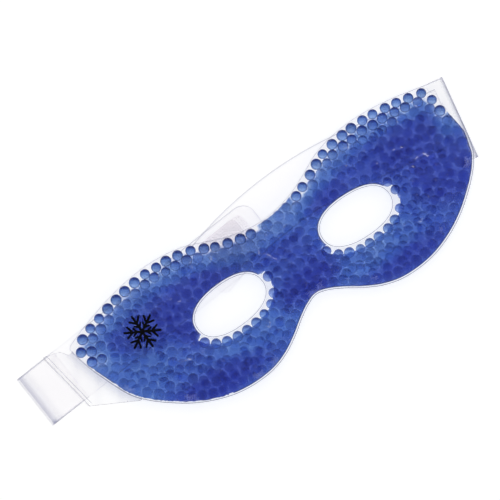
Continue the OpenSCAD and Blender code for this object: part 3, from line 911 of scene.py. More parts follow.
# ---------------------------------------------------------------- pouch films
mid = PLAN[TRI].mean(1)
CUT = (np.minimum(d_rim(mid), d_eye(mid)) < 0.27).astype(int)
# painted shade: a darker line on the front film along the pressed weld line
PRESS_LINE_SHADE = 0.22 * np.exp(-((D_PLAN + 0.15) / 0.30) ** 2)
brow_edge = smoothstep(PLAN[:, 1] - 0.02 * np.abs(PLAN[:, 0]), 2, 14) * (d_eye(PLAN) > 3)
CUT_K = np.where(d_eye(PLAN) < 3, 0.30, 0.45) * (1 - 0.95 * brow_edge)
V, F, edge = shell(PLAN, TRI, Z_FRONT, Z_FRONT - 0.27)
edge[:len(TRI)] = CUT
front = new_object("front_film", V, F, (M_FILM, M_FILM_EDGE), edge, attrs={"shade": np.r_[PRESS_LINE_SHADE, PRESS_LINE_SHADE * 0], "cut": np.r_[CUT_K, CUT_K]})
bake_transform(front)
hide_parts("front_film_left", "front_film_right")

V, F, edge = shell(PLAN, TRI, Z_BACK, Z_BACK - 0.27)
edge[:len(TRI)] = CUT
back = new_object("back_film", V, F, (M_FILM, M_FILM_EDGE), edge, attrs={"cut": np.r_[CUT_K, CUT_K] * 0.3})
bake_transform(back)
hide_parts("back_film_left", "back_film_right")


# ---------------------------------------------------------------- beads
def ico(sub):
    t = (1 + 5 ** 0.5) / 2
    v = [(-1, t, 0), (1, t, 0), (-1, -t, 0), (1, -t, 0), (0, -1, t), (0, 1, t), (0, -1, -t), (0, 1, -t), (t, 0, -1), (t, 0, 1), (-t, 0, -1), (-t, 0, 1)]
    f = [(0, 11, 5), (0, 5, 1), (0, 1, 7), (0, 7, 10), (0, 10, 11), (1, 5, 9), (5, 11, 4), (11, 10, 2), (10, 7, 6), (7, 1, 8),
         (3, 9, 4), (3, 4, 2), (3, 2, 6), (3, 6, 8), (3, 8, 9), (4, 9, 5), (2, 4, 11), (6, 2, 10), (8, 6, 7), (9, 8, 1)]
    v = [np.array(x, float) / np.linalg.norm(x) for x in v]
    for _ in range(sub):
        mid, g = {}, []
        for a, b, c in f:
            m = []
            for p, q in ((a, b), (b, c), (c, a)):
                k = (min(p, q), max(p, q))
                if k not in mid:
                    w = v[p] + v[q]
                    mid[k] = len(v)
                    v.append(w / np.linalg.norm(w))
                m.append(mid[k])
            g += [(a, m[0], m[2]), (b, m[1], m[0]), (c, m[2], m[1]), tuple(m)]
        f = g
    return np.array(v), np.array(f)


ICO_V, ICO_F = ico(2)

# what the filling should look like from the front (linear colour of a white floor seen through it), by place
DEEP = np.array([0.034, 0.062, 0.37])
LIGHT = np.array([0.115, 0.225, 0.54])
MIDDLE = np.array([0.056, 0.140, 0.48])
PALE = [(-12, 21, 14, 6, 0.55), (0, 15, 9, 9, 0.05), (34, -17, 17, 6, 0.5), (-34, -18, 20, 8, 0.3), (-88, 0, 14, 12, 0.35), (12, 8, 9, 12, 0.15)]
DARK = [(70, 14, 26, 10, 0.6), (78, -6, 16, 12, 0.5), (-62, -27, 24, 7, 1.0), (-44, 15, 16, 5, 0.9), (27, 15.5, 13, 5, 0.8), (0, -13, 14, 7, 1.0),
        (-62, 12, 18, 9, 0.6), (84, -10, 12, 12, 0.5), (45, -30, 22, 5, 0.7), (-57, 3, 5, 10, 0.6),
        (0, 9, 14, 12, 0.40), (-84, 12, 14, 14, 0.30), (10, 3, 6, 14, 0.25)]


def target(P):
    x, y = P[:, 0], P[:, 1]
    d = d_rim(P) - w_rim(P)
    g = np.full(len(P), 0.30)
    for cx, cy, rx, ry, s_ in PALE:
        g += s_ * np.exp(-(((x - cx) / rx) ** 2 + ((y - cy) / ry) ** 2))
    for cx, cy, rx, ry, s_ in DARK:
        g -= 0.6 * s_ * np.exp(-(((x - cx) / rx) ** 2 + ((y - cy) / ry) ** 2))
    g += 0.75 * smoothstep(y, 2, 14) * (1 - smoothstep(d, 3.5, 15))
    g = np.clip(g, 0, 1)[:, None]
    lo_, hi_ = np.clip(g / 0.4, 0, 1), np.clip((g - 0.4) / 0.6, 0, 1)
    return np.exp(np.log(DEEP) * (1 - lo_) + np.log(MIDDLE) * lo_ * (1 - hi_) + np.log(LIGHT) * lo_ * hi_)


def layers(P):
    out = np.zeros(len(P))
    for p, r in zip(BEAD_P, BEAD_R):
        rho2 = ((P - p[:2]) ** 2).sum(1)
        out += 2 * np.sqrt(np.maximum(r * r - rho2, 0)) / (2 * r)
    return out


probe = BEAD_P[:, :2]
n_lay = np.mean([layers(probe + np.array(o_)) for o_ in ((0, 0), (1.6, 0), (-1.6, 0), (0, 1.6), (0, -1.6))], axis=0)
n_lay = np.maximum(n_lay, 0.9)
GEL_SHARE = 0.60
share = np.clip(BEAD_WET, 0, 1) * GEL_SHARE
BEAD_TINT = np.exp(np.log(target(probe)) * ((1 - share) / (2 * n_lay * 1.15))[:, None])
BEAD_TINT *= rng.uniform(0.94, 1.05, (len(probe), 1))
for cx, cy, rx, ry, s_ in DARK:
    BEAD_WET = np.maximum(BEAD_WET, BEAD_WET * (1 + 0.32 * s_ * np.exp(-(((probe[:, 0] - cx) / rx) ** 2 + ((probe[:, 1] - cy) / ry) ** 2))))
first_row = smoothstep(5.2 - (d_rim(probe) - w_rim(probe)), 0, 1.5) * smoothstep(probe[:, 1], 8, 14)
BEAD_TINT = BEAD_TINT ** (1 + 0.22 * first_row)[:, None]
BEAD_TINT = np.clip(BEAD_TINT, 0, 0.98)
print("layers", n_lay.mean(), n_lay.max())


def bead_mesh(side):
    sel = np.where(np.sign(BEAD_P[:, 0] + 1e-9) == side)[0]
    VV, FF, tone, wet = [], [], [], []
    for k in sel:
        p, r = BEAD_P[k], BEAD_R[k]
        u = ICO_V * r
        a = rng.uniform(0, 2 * math.pi)
        c, s = math.cos(a), math.sin(a)
        u = np.stack([u[:, 0] * c - u[:, 1] * s, u[:, 0] * s + u[:, 1] * c, u[:, 2]], 1)
        near = np.where((np.linalg.norm(BEAD_P - p, axis=1) < r + BEAD_R + 0.05) & (np.arange(len(BEAD_P)) != k))[0]
        for j in near:
            n = BEAD_P[j] - p
            dist = np.linalg.norm(n)
            n = n / dist
            h = dist * r / (r + BEAD_R[j]) - 0.02
            over = u @ n - h
            u = u - np.where(over > 0, over, 0)[:, None] * n
        FF.append(ICO_F + len(VV) * len(ICO_V))
        VV.append(u + p)
        tone += [BEAD_TINT[k]] * len(u)
        wet += [BEAD_WET[k]] * len(u)
    return np.vstack(VV), np.vstack(FF), tone, wet


for side, name, half in ((-1, "gel_beads_left", "left"), (1, "gel_beads_right", "right")):
    V, F, tone, wet = bead_mesh(side)
    ob = new_object("beads_" + half, V, F, (M_BEAD,), attrs={"tint": np.array(tone), "wet": wet})
    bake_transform(ob)
    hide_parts(name)

# ---------------------------------------------------------------- carrier gel: pools between the beads
zb_in = Z_BACK + 0.05
zf_in = Z_FRONT - 0.27 - 0.05
gap = np.maximum(zf_in - zb_in, 0.08)
fill_share = np.maximum(gel_fill(PLAN), (0.13 * smoothstep(D_PLAN, 1.6, 3.0) + 0.30 * smoothstep(D_PLAN, 4.2, 6.5)) * smoothstep(PLAN[:, 1], 8, 12))
level = zb_in + np.maximum(fill_share * gap, 0.08)
wet_ok = (fill_share > 0.10) & (D_PLAN > -0.06)
keep = wet_ok[TRI].all(1)
T = TRI[keep]
used = np.unique(T)
remap = -np.ones(len(PLAN), int)
remap[used] = np.arange(len(used))
V, F, edge = shell(PLAN[used], remap[T], level[used], zb_in[used])
lay = layers(PLAN[used])
bead_part = np.clip(lay / 1.0, 0, 1)
tg = target(PLAN[used])
band = np.zeros(len(used))
for cx, cy, rx, ry, s_ in DARK:
    band = np.maximum(band, s_ * np.exp(-(((PLAN[used, 0] - cx) / rx) ** 2 + ((PLAN[used, 1] - cy) / ry) ** 2)))
expo = np.where(lay < 0.3, 0.85, GEL_SHARE * fill_share[used] + 0.25 * band) / 2
expo = expo * smoothstep(fill_share[used], 0.10, 0.38)
# painted shade: the gel is darker along the line where the filling begins
line = np.exp(-(D_PLAN[used] / 0.30) ** 2) * smoothstep(fill_share[used], 0.3, 0.6)
gel_tint = np.exp(np.log(tg) * expo[:, None]) * (1 - 0.35 * line)[:, None]
gel = new_object("carrier_gel", V, F, (M_GEL,), attrs={"tint": np.vstack([gel_tint, gel_tint])})
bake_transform(gel)
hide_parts("carrier_gel_left", "carrier_gel_right")


# ---------------------------------------------------------------- straps and tabs
def frame_xy(o, lean, P):
    P = np.asarray(P, float)
    c, s = math.cos(lean), math.sin(lean)
    return np.stack([o[0] + P[..., 0] * c - P[..., 1] * s, o[1] + P[..., 0] * s + P[..., 1] * c], -1)


def ribbon(centre, normal, across, half_w, t, n_w=16):
    """Closed band. centre, normal and across are per row; half_w is the half width on each side."""
    n = len(centre)
    u = np.linspace(-1, 1, max(n_w - 3, 2))
    cut = 0.45 / max(np.max(half_w), 1.0)
    u = np.r_[-1, -1 + cut, -1 + 2.2 * cut, u[1:-1], 1 - 2.2 * cut, 1 - cut, 1] if np.max(half_w) > 4 else np.linspace(-1, 1, n_w + 1)
    top, bot = [], []
    for k in range(n):
        a, b = half_w[k] if np.ndim(half_w[k]) else (half_w[k], half_w[k])
        off = np.where(u < 0, u * a, u * b)
        line = centre[k][None] + off[:, None] * across[k][None]
        top.append(line + normal[k] * t / 2)
        bot.append(line - normal[k] * t / 2)
    V = np.vstack([np.array(top).reshape(-1, 3), np.array(bot).reshape(-1, 3)])
    m = n_w + 1
    o = n * m
    F, edge = [], []
    for i in range(n - 1):
        for j in range(n_w):
            a, b, c, d = i * m + j, i * m + j + 1, (i + 1) * m + j + 1, (i + 1) * m + j
            side_col = 1 if j in (0, n_w - 1) else 0
            F.append((a, b, c, d)); edge.append(side_col)
            F.append((o + d, o + c, o + b, o + a)); edge.append(0)
        for j in (0, n_w):
            a, d = i * m + j, (i + 1) * m + j
            F.append((a, d, o + d, o + a) if j == 0 else (d, a, o + a, o + d)); edge.append(1)
    for i in (0, n - 1):
        for j in range(n_w):
            a, b = i * m + j, i * m + j + 1
            F.append((b, a, o + a, o + b) if i == 0 else (a, b, o + b, o + a)); edge.append(1)
    return V, F, edge


def round_end(s, L, w, r):
    x = s - (L - r)
    return w if x <= 0 else w - r + math.sqrt(max(r * r - x * x, 0.0004))


W = 13.5
R_L = (ROOT_Z - LEFT_Z) / 2
tail_len = 133.5
rows = []
for x in np.linspace(20.3, 0, 26):
    rows.append((x, ROOT_Z + STRAP_T / 2, 0, 1, W))
for a in np.linspace(0, math.pi, 15)[1:-1]:
    rows.append((-R_L * math.sin(a), LF[2] + R_L * math.cos(a), -math.sin(a), math.cos(a), W))
for x in np.r_[np.linspace(0, tail_len - 7, 70), tail_len - 7 + 7 * np.sin(np.linspace(0, math.pi / 2, 12))[1:]]:
    rows.append((x, LEFT_Z + STRAP_T / 2, 0, -1, round_end(x, tail_len, W, 7)))
c, s = math.cos(LEFT_LEAN), math.sin(LEFT_LEAN)
cen = np.array([[*frame_xy(LF, LEFT_LEAN, (x, 0)), z] for x, z, *_ in rows])
nrm = np.array([[nx * c, nx * s, nz] for _, _, nx, nz, _ in rows])
acr = np.array([[-s, c, 0]] * len(rows))
hw = [w for *_, w in rows]
# soft ripples on the root
loc = np.array([r[0] for r in rows])
root_rows = np.arange(len(rows)) < 26
cen[:, 2] += np.where(root_rows, 0.05 * np.sin(loc * 0.55) - 0.05, 0)
V, F, edge = ribbon(cen, nrm, acr, hw, STRAP_T)
# painted shade on the strap: darker across the fold and more so at its lower side, with a faint band 4.5 mm in; a thin
# darker line along both edges, kept off under the tab and behind the eye; a darker rim at the tail's tip
fold_shade = np.exp(-((loc - 0.2) / 2.3) ** 2) * np.where(root_rows, 1, 0) * 0.55
fold_shade += np.where(root_rows, 0.10 * np.exp(-((loc - 4.5) / 1.2) ** 2), 0)
cols = np.ones(17)
cols[:3] = 1.7
edge_shade_cols = np.zeros(17)
edge_shade_cols[[0, 1, 15, 16]] = 1.0
line_x = cen[:, 0]
behind_eye = smoothstep(line_x, -58, -54) * (1 - smoothstep(line_x, -17, -13))
under_tab = smoothstep(loc, 15.5, 18.5) * (1 - smoothstep(loc, 34, 40))
tip = np.exp(-((tail_len - np.where(root_rows, 0, loc)) / 0.8) ** 2)
low_side = np.r_[np.ones(8), np.zeros(9)]
show = 1 - np.outer(behind_eye, low_side)
sh = np.outer(fold_shade, cols) + np.outer(0.20 * (1 - under_tab), edge_shade_cols) * show + np.outer(0.25 * tip, np.ones(17))
sh = sh.ravel()
cut_ = np.outer(np.where(root_rows, -0.04, 0.04) - 0.3 * under_tab, np.ones(17))
cut_ = (cut_ - 0.3 * (1 - show)).ravel()
lstrap = new_object("left_strap", V, F, (M_STRAP, M_STRAP_EDGE), edge, attrs={"shade": np.r_[sh, sh], "cut": np.r_[cut_, cut_]})
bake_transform(lstrap)
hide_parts("left_strap_root", "left_strap_tail")

# left tab, between the pouch's flange and the strap
TABP = np.array([(-120.4, 30.4), (-115.8, -0.4), (-94, -12.5), (-90, 10), (-104, 25.2), (-109.6, 24.2), (-112.2, 27.9)])


# how far a tab reaches in under the rim: no further than the weld is wide
TAB_IN = 0.40


def poly_fine(P, step):
    return resample(np.array(P, float), step)


def inner_rim(d):
    nxt = np.roll(RIM, -1, 0) - np.roll(RIM, 1, 0)
    nn = np.stack([nxt[:, 1], -nxt[:, 0]], 1)
    nn /= np.linalg.norm(nn, axis=1)[:, None]
    return RIM + nn * d


def clip_mesh(poly, keep_fn, step):
    lo, hi = poly.min(0) - 1, poly.max(0) + 1
    g = np.mgrid[lo[0]:hi[0]:step, lo[1]:hi[1]:step]
    G = np.stack([g[0].ravel(), g[1].ravel()], 1)
    G = G + rng.uniform(-0.1, 0.1, G.shape) * step
    G = G[inside(G, poly) & (dist_to(G, poly) > step * 0.5)]
    inner = inner_rim(TAB_IN)
    inner = inner[inside(inner, poly) & (dist_to(inner, poly) > 0.2)]
    di = d_rim(G)
    G = G[di < TAB_IN - step * 0.4]
    rim_in = np.vstack([ring_points(poly, sg, np.full(len(poly), 0.42)) for sg in (-1, 1)])
    rim_in = rim_in[inside(rim_in, poly) & (d_rim(rim_in) < TAB_IN - 0.1)]
    pts = thin_out(np.vstack([rim_in, inner, G]), step * 0.3)
    return triangulate([poly], pts, keep_fn)


tabp = poly_fine(TABP[::-1], 1.0)
P2, T2 = clip_mesh(tabp, lambda cc: inside(cc, tabp) & (d_rim(cc) < TAB_IN), 1.2)
dr2 = -d_rim(P2)
away = smoothstep(dr2, 0.5, 5) * smoothstep(dist_to(P2, np.array([TABP[0], TABP[1]])), 2.0, 5)
strap_over = smoothstep(P2[:, 0], -111.5, -113.5)
und = 0.35 * np.sin(P2[:, 0] * 0.33 + P2[:, 1] * 0.12) * np.cos(P2[:, 1] * 0.21 + 0.6)
zt = TAB_ZT - 0.02 + away * (1 - smoothstep(-P2[:, 0], 111, 113)) * (und - 0.35)
V, F, edge = shell(P2, T2, zt, zt - TAB_T + 0.06)
edge[:len(T2)] = (dist_to(P2[T2].mean(1), tabp) < 0.26).astype(int)
# painted shadow: the tab is darker beside the pouch, whose edge shades it, with soft painted shade stripes for its
# wrinkles; low_edge paints a darker cut line along its lower edge and towards its top
sh = 0.62 * np.exp(-(np.maximum(dr2, 0) / 3.0) ** 2) + 0.12 * smoothstep(np.sin(P2[:, 0] * 0.5 - P2[:, 1] * 0.35), 0.3, 1.0)
low_edge = 0.30 * (1 - smoothstep(P2[:, 1], -0.5, 3)) + 0.12 * smoothstep(P2[:, 1], 22, 25)
ltab = new_object("left_end_tab", V, F, (M_TAB, M_STRAP_EDGE), edge, attrs={"shade": np.r_[sh, sh * 0], "cut": np.r_[low_edge, low_edge]})
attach(ltab, "left_half")
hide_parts("left_tab")

# two welded bars where the strap joins the tab
def bar(p, q, w, z, h):
    p, q = np.array(p, float), np.array(q, float)
    n = 24
    t = (q - p) / np.linalg.norm(q - p)
    rows_c, rows_n, rows_a = [], [], []
    for k in range(n + 1):
        cpt = p + (q - p) * k / n
        rows_c.append([cpt[0], cpt[1], z + 0.02 * math.sin(k * 1.7)])
        rows_n.append([0, 0, 1])
        rows_a.append([t[1], -t[0], 0])
    return ribbon(np.array(rows_c), np.array(rows_n), np.array(rows_a), [w / 2] * (n + 1), h, 4)


VV, FF, o2 = [], [], 0
for dx in (0.55, 2.0):
    a = (-120.4 + dx, 30.0)
    b = (-115.8 + dx, -0.1)
    V, F, _ = bar(a, b, 0.42, TAB_ZT + 0.05, 0.1)
    FF += [[i + o2 for i in f] for f in F]
    o2 += len(V)
    VV.append(V)
weld = new_object("left_weld_lines", np.vstack(VV), FF, (M_STRAP_EDGE,), attrs={"cut": np.full(len(np.vstack(VV)), -0.07)})
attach(weld, "left_half")

# right tab: from the pouch's flange round the fold and back behind the pouch
flap_z = RIGHT_ZT
R_R = (TAB_Z - flap_z) / 2
ny = 34
ys = np.linspace(-20.3, 20.3, ny + 1)
xs_probe = np.linspace(1.0, -18, 120)


def root_start(y):
    Q = frame_xy(RF, RIGHT_LEAN, np.stack([xs_probe, np.full_like(xs_probe, y)], 1))
    dd = d_rim(Q)
    k = np.where(dd > TAB_IN)[0]
    return xs_probe[k[0]] if len(k) else -1.5


starts = np.array([min(root_start(y), -0.5) for y in ys])
flap_end = np.interp(ys, [-20.3, -16.5, -9, 18.6, 20.3], [-0.6, -4, -15, -15, -4.5])
rows_uv = []
nr, na, nf = 8, 12, 10
GP = []
for j, y in enumerate(ys):
    col = []
    for u in np.linspace(1, 0, nr + 1):
        col.append((starts[j] * u, TAB_Z + TAB_T / 2, 0, 1))
    for a in np.linspace(0, math.pi, na + 1)[1:-1]:
        col.append((R_R * math.sin(a), RF[2] + R_R * math.cos(a), math.sin(a), math.cos(a)))
    for u in np.linspace(0, 1, nf + 1):
        col.append((flap_end[j] * u, flap_z + TAB_T / 2, 0, -1))
    GP.append(col)
GP = np.array(GP)
m = GP.shape[1]
cr, sr = math.cos(RIGHT_LEAN), math.sin(RIGHT_LEAN)
top, bot = [], []
for j, y in enumerate(ys):
    xy = frame_xy(RF, RIGHT_LEAN, np.stack([GP[j, :, 0], np.full(m, y)], 1))
    cpt = np.c_[xy, GP[j, :, 1] - (GP[j, :, 3] > 0.5) * 0.03]
    nn = np.stack([GP[j, :, 2] * cr, GP[j, :, 2] * sr, GP[j, :, 3]], 1)
    top.append(cpt + nn * (TAB_T - 0.06) / 2)
    bot.append(cpt - nn * (TAB_T - 0.06) / 2)
V = np.vstack([np.array(top).reshape(-1, 3), np.array(bot).reshape(-1, 3)])
o3 = (ny + 1) * m
F, edge = [], []
for j in range(ny):
    for i in range(m - 1):
        a, b, c_, d_ = j * m + i, j * m + i + 1, (j + 1) * m + i + 1, (j + 1) * m + i
        F.append((a, b, c_, d_)); edge.append(0)
        F.append((o3 + d_, o3 + c_, o3 + b, o3 + a)); edge.append(0)
for i in range(m - 1):
    F.append((i + 1, i, o3 + i, o3 + i + 1)); edge.append(1)
    q = ny * m
    F.append((q + i, q + i + 1, o3 + q + i + 1, o3 + q + i)); edge.append(1)
for j in range(ny):
    a, b = j * m, (j + 1) * m
    F.append((a, b, o3 + b, o3 + a)); edge.append(1)
    a, b = j * m + m - 1, (j + 1) * m + m - 1
    F.append((b, a, o3 + a, o3 + b)); edge.append(1)
# painted shade along the fold, darker towards its lower end
sh = np.where(GP[:, :, 3] > 0.2, 0.45 * np.exp(-(GP[:, :, 0] - 1.2) ** 2 / 1.0), 0)
sh = sh * np.interp(ys, [-20.3, -19.3, -17.8, 20.3], [2.1, 1.5, 1.0, 0.6])[:, None]
sh = sh.reshape(-1)
rtab = new_object("right_end_tab", V, F, (M_TAB, M_STRAP_EDGE), edge, attrs={"shade": np.r_[sh, sh]})
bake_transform(rtab)
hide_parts("right_tab_root", "right_tab_flap")

# right strap: straight run, then an arc
AR, RUN, SW = 176.0, 49.0, math.radians(29)
rows = []
for x in np.linspace(0, RUN, 24):
    rows.append(((-x, 0), (0, 1)))
for a in np.linspace(0, SW, 44)[1:]:
    rows.append(((-RUN - AR * math.sin(a), -AR + AR * math.cos(a)), (-math.sin(a), math.cos(a))))
s_len = np.r_[0, np.cumsum(np.linalg.norm(np.diff(np.array([r[0] for r in rows]), axis=0), axis=1))]
Ltot = s_len[-1]
fine = np.r_[np.linspace(0, Ltot - 4, 78), Ltot - 4 + 4 * np.sin(np.linspace(0, math.pi / 2, 9))[1:]]
cx = np.interp(fine, s_len, [r[0][0] for r in rows])
cy = np.interp(fine, s_len, [r[0][1] for r in rows])
ax = np.interp(fine, s_len, [r[1][0] for r in rows])
ay = np.interp(fine, s_len, [r[1][1] for r in rows])
xy = frame_xy(RF, RIGHT_LEAN, np.stack([cx - 3, cy + 3.27], 1))
cen = np.c_[xy, np.full(len(xy), RIGHT_Z + STRAP_T / 2)]
acr = np.stack([ax * cr - ay * sr, ax * sr + ay * cr, np.zeros(len(ax))], 1)
nrm = np.array([[0, 0, 1.0]] * len(xy))
hw = [round_end(s_, Ltot, W, 4) for s_ in fine]
V, F, edge = ribbon(cen, nrm, acr, hw, STRAP_T - 0.02)
# painted shade: a thin darker line along both edges and a darker rim at the tip, kept off behind the eye
sh = np.outer(0.20 + 0 * fine, edge_shade_cols) + np.outer(0.25 * np.exp(-((Ltot - fine) / 0.7) ** 2), np.ones(17))
behind_eye = smoothstep(cen[:, 0], -58, -54) * (1 - smoothstep(cen[:, 0], -17, -13))
show = 1 - np.outer(behind_eye, low_side)
sh = (sh * show).ravel()
cut_ = (0.04 - 0.3 * (1 - show)).ravel()
rstrap = new_object("right_strap_band", V, [f[::-1] for f in F], (M_STRAP, M_STRAP_EDGE), edge, attrs={"shade": np.r_[sh, sh], "cut": np.r_[cut_, cut_]})
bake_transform(rstrap)
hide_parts("right_strap", "right_strap_tip")


# ---------------------------------------------------------------- hook and loop patches
def rounded_rect(cx_, cy_, L, w, r, n=6):
    out = []
    for qx, qy, a0 in ((1, 1, 0), (-1, 1, 90), (-1, -1, 180), (1, -1, 270)):
        for k in range(n):
            a = math.radians(a0 + 90 * k / (n - 1))
            out.append((cx_ + qx * (L / 2 - r) + r * math.cos(a), cy_ + qy * (w / 2 - r) + r * math.sin(a)))
    return np.array(out)


def slab(poly, z0, z1, step=1.6):
    loop = resample(poly, step)
    lo, hi = loop.min(0), loop.max(0)
    g = np.mgrid[lo[0]:hi[0]:step, lo[1]:hi[1]:step]
    G = np.stack([g[0].ravel(), g[1].ravel()], 1)
    G = G[inside(G, loop) & (dist_to(G, loop) > step * 0.5)]
    P, T = triangulate([loop], G, lambda cc: inside(cc, loop))
    return P, T, np.full(len(P), z1), np.full(len(P), z0)


def hook_mesh():
    cx_ = tail_len - 6 - 11
    poly = rounded_rect(cx_, 0, 22, 21, 3)
    P, T, zh, zl = slab(poly, HOOK_ZT - 0.24, HOOK_ZT - 0.02)
    V, F, _ = shell(frame_xy(LF, LEFT_LEAN, P), T, zh, zl)
    V, F = [V], [list(map(list, F))]
    n = len(V[0])
    ring = [(math.cos(a), math.sin(a)) for a in np.linspace(0, 2 * math.pi, 7)[:-1]]
    prof = [(0.17, HOOK_ZT - 0.22), (0.12, HOOK_ZT - 0.40), (0.26, HOOK_ZT - 0.47), (0.20, HOOK_ZT - 0.56), (0.03, HOOK_ZT - 0.59)]
    for i in np.arange(cx_ - 10.2, cx_ + 10.3, 1.15):
        for j in np.arange(-9.7, 9.8, 1.1):
            if not inside(np.array([[i, j]]), poly * 1.0)[0] or dist_to(np.array([[i, j]]), poly)[0] < 0.5:
                continue
            c0 = frame_xy(LF, LEFT_LEAN, (i + rng.uniform(-0.05, 0.05), j + rng.uniform(-0.05, 0.05)))
            vv = [(c0[0] + q[0] * r, c0[1] + q[1] * r, z) for r, z in prof for q in ring]
            ff = []
            for a in range(len(prof) - 1):
                for b in range(6):
                    ff.append([n + a * 6 + b, n + (a + 1) * 6 + b, n + (a + 1) * 6 + (b + 1) % 6, n + a * 6 + (b + 1) % 6])
            ff.append([n + b for b in range(6)])
            ff.append([n + (len(prof) - 1) * 6 + b for b in range(5, -1, -1)])
            V.append(np.array(vv)); F.append(ff)
            n += len(vv)
    return np.vstack(V), [f for g in F for f in g]


V, F = hook_mesh()
hook = new_object("hook_tape_patch", V, F, (M_HOOK,))
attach(hook, "left_tail")
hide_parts("hook_patch")


def within_band(poly, gap):
    """Keeps the patch's outline on the curved strap that carries it."""
    spine = (cen[:, :2] - np.array(LF[:2])) @ np.array([[c, -s], [s, c]])
    out = poly.copy()
    for k, q in enumerate(poly):
        i = int(np.argmin(((spine - q) ** 2).sum(1)))
        off = q - spine[i]
        d = np.linalg.norm(off)
        if d > W - gap:
            out[k] = spine[i] + off * (W - gap) / d
    return out


def loop_mesh():
    cx_ = tail_len - 9.5 - 10.5
    poly = within_band(rounded_rect(cx_, 0, 21, 21, 3), 1.0)
    P, T, zh, zl = slab(poly, LOOP_Z + 0.0, LOOP_Z + 0.2)
    V, F, _ = shell(frame_xy(LF, LEFT_LEAN, P), T, zh, zl)
    V, F = [V], [list(map(list, F))]
    n = len(V[0])
    for _k in range(620):
        i, j = cx_ + rng.uniform(-10, 10), rng.uniform(-10, 10)
        if dist_to(np.array([[i, j]]), poly)[0] < 0.8 or not inside(np.array([[i, j]]), poly)[0]:
            continue
        c0 = frame_xy(LF, LEFT_LEAN, (i, j))
        a = rng.uniform(0, math.pi)
        span, h, r = rng.uniform(0.25, 0.5), rng.uniform(0.28, 0.42), 0.035
        d = np.array([math.cos(a), math.sin(a), 0])
        side_ = np.array([-d[1], d[0], 0])
        pts = []
        for t in np.linspace(0, math.pi, 7):
            pts.append(np.array([c0[0], c0[1], LOOP_Z + 0.18]) + d * span * math.cos(t) + np.array([0, 0, h * math.sin(t)]))
        pts = np.array(pts)
        ring_v = []
        for q in range(7):
            tan = pts[min(q + 1, 6)] - pts[max(q - 1, 0)]
            tan /= np.linalg.norm(tan)
            up = np.cross(tan, side_)
            for b in range(4):
                ang = b * math.pi / 2
                ring_v.append(pts[q] + r * (math.cos(ang) * side_ + math.sin(ang) * up))
        ff = []
        for q in range(6):
            for b in range(4):
                ff.append([n + q * 4 + b, n + q * 4 + (b + 1) % 4, n + (q + 1) * 4 + (b + 1) % 4, n + (q + 1) * 4 + b])
        ff.append([n + b for b in range(3, -1, -1)])
        ff.append([n + 24 + b for b in range(4)])
        V.append(np.array(ring_v)); F.append(ff)
        n += len(ring_v)
    return np.vstack(V), [f for g in F for f in g]


V, F = loop_mesh()
loopp = new_object("loop_tape_patch", V, F, (M_LOOP,))
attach(loopp, "right_tip")
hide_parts("loop_patch")

# ---------------------------------------------------------------- printed snowflake, draped on the front film
film_tree = BVHTree.FromPolygons([(*p, z) for p, z in zip(PLAN.tolist(), Z_FRONT.tolist())], [tuple(map(int, t)) for t in TRI])


def on_film(P, lift):
    out = []
    for x, y in P:
        hit = film_tree.ray_cast(Vector((x, y, 40)), Vector((0, 0, -1)))
        out.append((hit[0].z if hit[0] is not None else TOP) + lift)
    return np.array(out)


def arm_shapes():
    """Six arms with two pairs of side branches and a hexagon round the centre, as convex pieces."""
    w = 0.62
    shapes = []

    def stick(p, q, w0, w1):
        p, q = np.array(p, float), np.array(q, float)
        t = (q - p) / np.linalg.norm(q - p)
        n = np.array([-t[1], t[0]])
        cap = [q + w1 * (math.cos(a) * t + math.sin(a) * n) for a in np.linspace(math.pi / 2, -math.pi / 2, 7)]
        return np.array([p + n * w0] + cap + [p - n * w0])

    for k in range(6):
        a = math.radians(60 * k)
        R = np.array([[math.cos(a), -math.sin(a)], [math.sin(a), math.cos(a)]])
        for s in (stick((0, 0), (0, 8.2), w, w * 0.9), stick((0, 4.3), (2.5, 6.8), w * 0.85, w * 0.8),
                  stick((0, 4.3), (-2.5, 6.8), w * 0.85, w * 0.8), stick((0, 2.3), (1.7, 4.0), w * 0.8, w * 0.7),
                  stick((0, 2.3), (-1.7, 4.0), w * 0.8, w * 0.7)):
            shapes.append(s @ R.T)
    return shapes


MC = np.array([-75.0, 13.5])
shapes = [s + MC for s in arm_shapes()]


def in_mark(P):
    out = np.zeros(len(P), bool)
    for s in shapes:
        out |= inside(P, s)
    return out


segs_v, segs_e = [], []
for s in shapes:
    f = resample(s, 0.35)
    o4 = len(segs_v)
    segs_v += [tuple(p) for p in f]
    segs_e += [(o4 + i, o4 + (i + 1) % len(f)) for i in range(len(f))]
out = delaunay_2d_cdt([Vector(v) for v in segs_v], segs_e, [], 0, 1e-4)
MP = np.array([tuple(v) for v in out[0]])
MT = np.array([list(f) for f in out[2]])
MT = MT[in_mark(MP[MT].mean(1))]
aa = MP[MT]
area = np.cross(aa[:, 1] - aa[:, 0], aa[:, 2] - aa[:, 0])
MT[area < 0] = MT[area < 0][:, ::-1]
MT = MT[np.abs(area) > 1e-7]
used = np.unique(MT)
remap = -np.ones(len(MP), int)
remap[used] = np.arange(len(used))
MP, MT = MP[used], remap[MT]
zz = on_film(MP, 0.05)
V, F, edge = shell(MP, MT, zz, zz - 0.04)
mark = new_object("snowflake_print", V, F, (M_INK,))
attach(mark, "left_half")
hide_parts("printed_mark")

